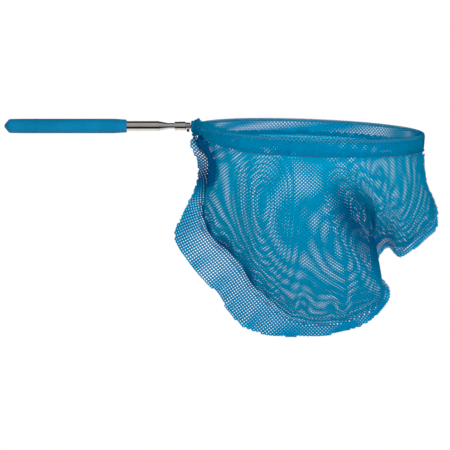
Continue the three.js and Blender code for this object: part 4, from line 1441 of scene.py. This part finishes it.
def gather_points(shrink):
    """The bunched ends of the hem as rings round the hoop's legs."""
    t = np.linspace(0, 1, 60)[:, None]
    angle = np.linspace(0, 2 * np.pi, 161)[None]
    up = np.sin(angle)
    swell = np.sin(np.pi / 2 * np.minimum(t, GATHER_FULL) / GATHER_FULL)
    mouth = smoothstep(t, 0, GATHER_MOUTH)
    taper = (1 - 0.3 * smoothstep(t, GATHER_FULL, 1)) * (0.8 + 0.2 * mouth)
    pleat = 0.5 * np.cos(5 * angle + 3 * t + 0.6) + 0.3 * np.cos(9 * angle - 8 * t + 1) * np.sin(6 * t + 1)
    pleat = pleat + 0.45 * np.sin(13 * t + 2 * angle) * smoothstep(t, 0, 0.2)
    pleat = pleat * (0.4 + 0.6 * mouth)
    peak = GATHER_PEAK * hump(t, GATHER_FULL, 0.26)
    sag = GATHER_SAG * hump(t, GATHER_SAG_AT, 0.3)
    width = (GATHER_HALF + GATHER_WIDER * swell) * taper + pleat - shrink
    gain = np.where(up > 0, GATHER_HIGHER, GATHER_LOWER)
    height = (GATHER_HALF + gain * swell) * taper + pleat - shrink
    x = GATHER_START + t * (GATHER_END - GATHER_START)
    z = height * up + peak * np.maximum(0, up) ** 3 - sag * np.maximum(0, -up) ** 2
    return np.stack(np.broadcast_arrays(x, width * np.cos(angle) * MM, z * MM), axis=-1)


def make_gather(settings):
    """The bunched ends of the hem, knitted like the rest, over a closed lining that hides the legs."""
    material = net_fabric(settings)
    points = gather_points(0)
    along = np.linalg.norm(np.diff(points, axis=0), axis=2).mean(1)
    around = np.linalg.norm(np.diff(points, axis=1), axis=2).mean(0)
    flat = np.stack(np.broadcast_arrays(running_sum(around)[None], running_sum(along)[:, None]), axis=-1)
    surface = grid_mesh(points, flat, settings.hem_hole)
    piece, size = knitted("mesh_gather", surface, settings, material)
    lining = mesh_from(*closed_rings(gather_points(LINING_INSET)[:, :-1]))
    lining.shade_smooth()
    layer = lining.uv_layers.new(name=FLAT_MAP)
    for loop in lining.loops:
        place = lining.vertices[loop.vertex_index].co
        layer.data[loop.index].uv = (place.y, place.x)
    finish_piece(piece, "head", None, ["neck_gather"])
    inner = show("gather_lining", lining)
    finish_piece(inner, "head", material)


# Stage


WHITE = (1, 1, 1, 1)
FLOOR_COLOUR = (0.82, 0.82, 0.82, 1)
FLOOR_RADIUS = 2.5
FLOOR_FADE = (0.3, 0.52)
KEY_PLACE, KEY_SIZE = (0.3, -1.5, 0.35), 0.6
BACK_PLACE, BACK_SIZE = (0.3, 1.5, 0.2), 1.0
LAMP_SHIFT = 0.04

# Bright and dark bands that polished metal reflects, as an angle round the pole in degrees and a brightness
BANDS = (
    (-180, 1.0),
    (-75, 0.85),
    (-60, 0.5),
    (-52, 0.01),
    (-14, 0.01),
    (-6, 0.3),
    (5, 0.36),
    (70, 0.45),
    (84, 0.01),
    (135, 0.01),
    (150, 0.9),
    (180, 1.0),
)


def seen_directly(tree, path):
    """1 for what the camera sees and for light that has passed through a piece, and 0 for all other light."""
    return maths(tree, "MAXIMUM", path.outputs["Is Camera Ray"], path.outputs["Is Transmission Ray"])


def studio_world(ambient):
    """White behind the object, plain soft light on it, and dark flags for polished metal to reflect."""
    world = bpy.data.worlds.new("studio")
    bpy.context.scene.world = world
    world.use_nodes = True
    tree = world.node_tree
    tree.nodes.clear()
    path = add_node(tree, "ShaderNodeLightPath")
    direction = add_node(tree, "ShaderNodeTexCoord").outputs["Generated"]
    parts = add_node(tree, "ShaderNodeSeparateXYZ", {0: direction})
    front = maths(tree, "MULTIPLY", parts.outputs["Y"], -1.0)
    angle = maths(tree, "ARCTAN2", parts.outputs["Z"], front)
    turn = maths(tree, "MULTIPLY_ADD", angle, 0.5 / math.pi, 0.5)
    ramp = add_node(tree, "ShaderNodeValToRGB", {"Fac": turn})
    elements = ramp.color_ramp.elements
    while len(elements) > 1:
        elements.remove(elements[-1])
    for i, (degrees, level) in enumerate(BANDS):
        place = degrees / 360 + 0.5
        element = elements[0] if i == 0 else elements.new(place)
        element.position = place
        element.color = (level, level * 0.97, level * 0.95, 1)
    soft, glossy, white = (
        add_node(tree, "ShaderNodeBackground", {"Color": colour, "Strength": strength}).outputs[0]
        for colour, strength in ((WHITE, ambient), (ramp.outputs["Color"], 1.0), (WHITE, 1.0))
    )
    lit = add_node(tree, "ShaderNodeMixShader", {0: path.outputs["Is Glossy Ray"], 1: soft, 2: glossy})
    final = add_node(tree, "ShaderNodeMixShader", {0: seen_directly(tree, path), 1: lit.outputs[0], 2: white})
    add_node(tree, "ShaderNodeOutputWorld", {"Surface": final.outputs[0]})


def make_floor(height, centre_x):
    """A pale floor that keeps the object's shadow and passes into white away from it."""
    shape = bmesh.new()
    bmesh.ops.create_circle(shape, cap_ends=True, segments=96, radius=FLOOR_RADIUS)
    mesh = bpy.data.meshes.new("floor")
    shape.to_mesh(mesh)
    shape.free()
    mesh.transform(Matrix.Translation((centre_x, 0, height)))
    floor = show("studio_floor", mesh)
    material, tree, shader = new_material("studio_floor")
    shader.inputs["Base Color"].default_value = FLOOR_COLOUR
    shader.inputs["Roughness"].default_value = 0.9
    shader.inputs["Specular IOR Level"].default_value = 0.1
    place = add_node(tree, "ShaderNodeTexCoord").outputs["Object"]
    centred = vector_maths(tree, "ADD", place, (-centre_x, 0, -height))
    radius = add_node(tree, "ShaderNodeVectorMath", {0: centred}, operation="LENGTH").outputs["Value"]
    band = {"Value": radius, "From Min": FLOOR_FADE[0], "From Max": FLOOR_FADE[1]}
    fade = add_node(tree, "ShaderNodeMapRange", band, interpolation_type="SMOOTHSTEP")
    seen = seen_directly(tree, add_node(tree, "ShaderNodeLightPath"))
    share = maths(tree, "MULTIPLY", seen, fade.outputs[0])
    white = add_node(tree, "ShaderNodeEmission", {"Color": WHITE, "Strength": 1.0})
    mixed = add_node(tree, "ShaderNodeMixShader", {0: share, 1: shader.outputs[0], 2: white.outputs[0]})
    show_shader(tree, mixed)
    mesh.materials.append(material)
    floor.visible_glossy = False


def add_lamp(name, place, target, size, power):
    """A round lamp that points at the target and is neither seen nor reflected."""
    data = bpy.data.lights.new(name, "AREA")
    data.shape = "DISK"
    data.size = size
    data.energy = power
    lamp = bpy.data.objects.new(name, data)
    bpy.context.scene.collection.objects.link(lamp)
    lamp.location = place
    lamp.rotation_euler = (Vector(target) - Vector(place)).to_track_quat("-Z", "Y").to_euler()
    lamp.visible_camera = False
    lamp.visible_glossy = False


def make_stage(settings):
    """The white studio, its floor, its two lamps and the camera of the main view."""
    scene = bpy.context.scene
    scene.view_settings.view_transform = "Standard"
    studio_world(settings.ambient)
    make_floor(settings.floor_height, settings.aim_x)
    target = (settings.aim_x + LAMP_SHIFT, 0, settings.aim_z)
    add_lamp("key_lamp", KEY_PLACE, target, KEY_SIZE, settings.key)
    add_lamp("back_lamp", BACK_PLACE, target, BACK_SIZE, settings.back)

    data = bpy.data.cameras.new("camera")
    data.lens = data.sensor_width * settings.distance / settings.view_width
    camera = bpy.data.objects.new("camera", data)
    scene.collection.objects.link(camera)
    aim = Vector((settings.aim_x, 0, settings.aim_z))
    look = Vector((0, math.cos(settings.pitch), -math.sin(settings.pitch)))
    camera.location = aim - look * settings.distance
    camera.rotation_euler = look.to_track_quat("-Z", "Y").to_euler()
    scene.camera = camera


# Operators and panel


class NET_OT_grip(bpy.types.Operator):
    """Make the foam grip"""

    bl_idname = "net.make_grip"
    bl_label = "Grip"

    def execute(self, context):
        make_grip(context.scene.net_grip)
        return {"FINISHED"}


class NET_OT_pole(bpy.types.Operator):
    """Make the five sliding tubes and finish the springs and the plug inside them"""

    bl_idname = "net.make_pole"
    bl_label = "Pole"

    def execute(self, context):
        make_pole(context.scene.net_pole)
        return {"FINISHED"}


class NET_OT_fittings(bpy.types.Operator):
    """Make the ferrule, the leg socket, its screw and the wire hoop"""

    bl_idname = "net.make_fittings"
    bl_label = "Hoop and fittings"

    def execute(self, context):
        make_fittings(context.scene.net_pole)
        return {"FINISHED"}


class NET_OT_panels(bpy.types.Operator):
    """Make the two knitted panels of the bag"""

    bl_idname = "net.make_panels"
    bl_label = "Panels"

    def execute(self, context):
        make_panels(context.scene.net_fabric)
        return {"FINISHED"}


class NET_OT_hem(bpy.types.Operator):
    """Make the knitted hem that is folded over the hoop"""

    bl_idname = "net.make_hem"
    bl_label = "Hem"

    def execute(self, context):
        make_hem(context.scene.net_fabric)
        return {"FINISHED"}


class NET_OT_stitching(bpy.types.Operator):
    """Sew the hem and the seam of the bag"""

    bl_idname = "net.make_stitching"
    bl_label = "Stitching"

    def execute(self, context):
        make_stitching(context.scene.net_stitches)
        return {"FINISHED"}


class NET_OT_gather(bpy.types.Operator):
    """Make the bunched ends of the hem at the neck"""

    bl_idname = "net.make_gather"
    bl_label = "Neck gather"

    def execute(self, context):
        make_gather(context.scene.net_fabric)
        return {"FINISHED"}


class NET_OT_stage(bpy.types.Operator):
    """Make the floor, the light and the camera"""

    bl_idname = "net.make_stage"
    bl_label = "Stage"

    def execute(self, context):
        make_stage(context.scene.net_stage)
        return {"FINISHED"}


SETTINGS = {
    "net_grip": GripSettings,
    "net_pole": PoleSettings,
    "net_fabric": FabricSettings,
    "net_stitches": StitchSettings,
    "net_stage": StageSettings,
}
OPERATORS = (
    NET_OT_grip,
    NET_OT_pole,
    NET_OT_fittings,
    NET_OT_panels,
    NET_OT_hem,
    NET_OT_stitching,
    NET_OT_gather,
    NET_OT_stage,
)


class NET_PT_pieces(bpy.types.Panel):
    """The pieces of the net and their sizes"""

    bl_idname = "NET_PT_pieces"
    bl_label = "Telescopic Net"
    bl_space_type = "VIEW_3D"
    bl_region_type = "UI"
    bl_category = "Net"

    def draw(self, context):
        for operator in OPERATORS:
            self.layout.operator(operator.bl_idname)
        for key, group in SETTINGS.items():
            box = self.layout.box()
            for name in group.__annotations__:
                box.prop(getattr(context.scene, key), name)


CLASSES = (*SETTINGS.values(), *OPERATORS, NET_PT_pieces)


def register():
    for cls in CLASSES:
        bpy.utils.register_class(cls)
    for key, group in SETTINGS.items():
        setattr(bpy.types.Scene, key, PointerProperty(type=group))


def unregister():
    for key in SETTINGS:
        delattr(bpy.types.Scene, key)
    for cls in reversed(CLASSES):
        bpy.utils.unregister_class(cls)


def main():
    register()
    bpy.ops.net.make_stage()
    bpy.ops.net.make_grip()
    bpy.ops.net.make_pole()
    bpy.ops.net.make_fittings()
    bpy.ops.net.make_panels()
    bpy.ops.net.make_hem()
    bpy.ops.net.make_stitching()
    bpy.ops.net.make_gather()


if __name__ == "__main__":
    main()
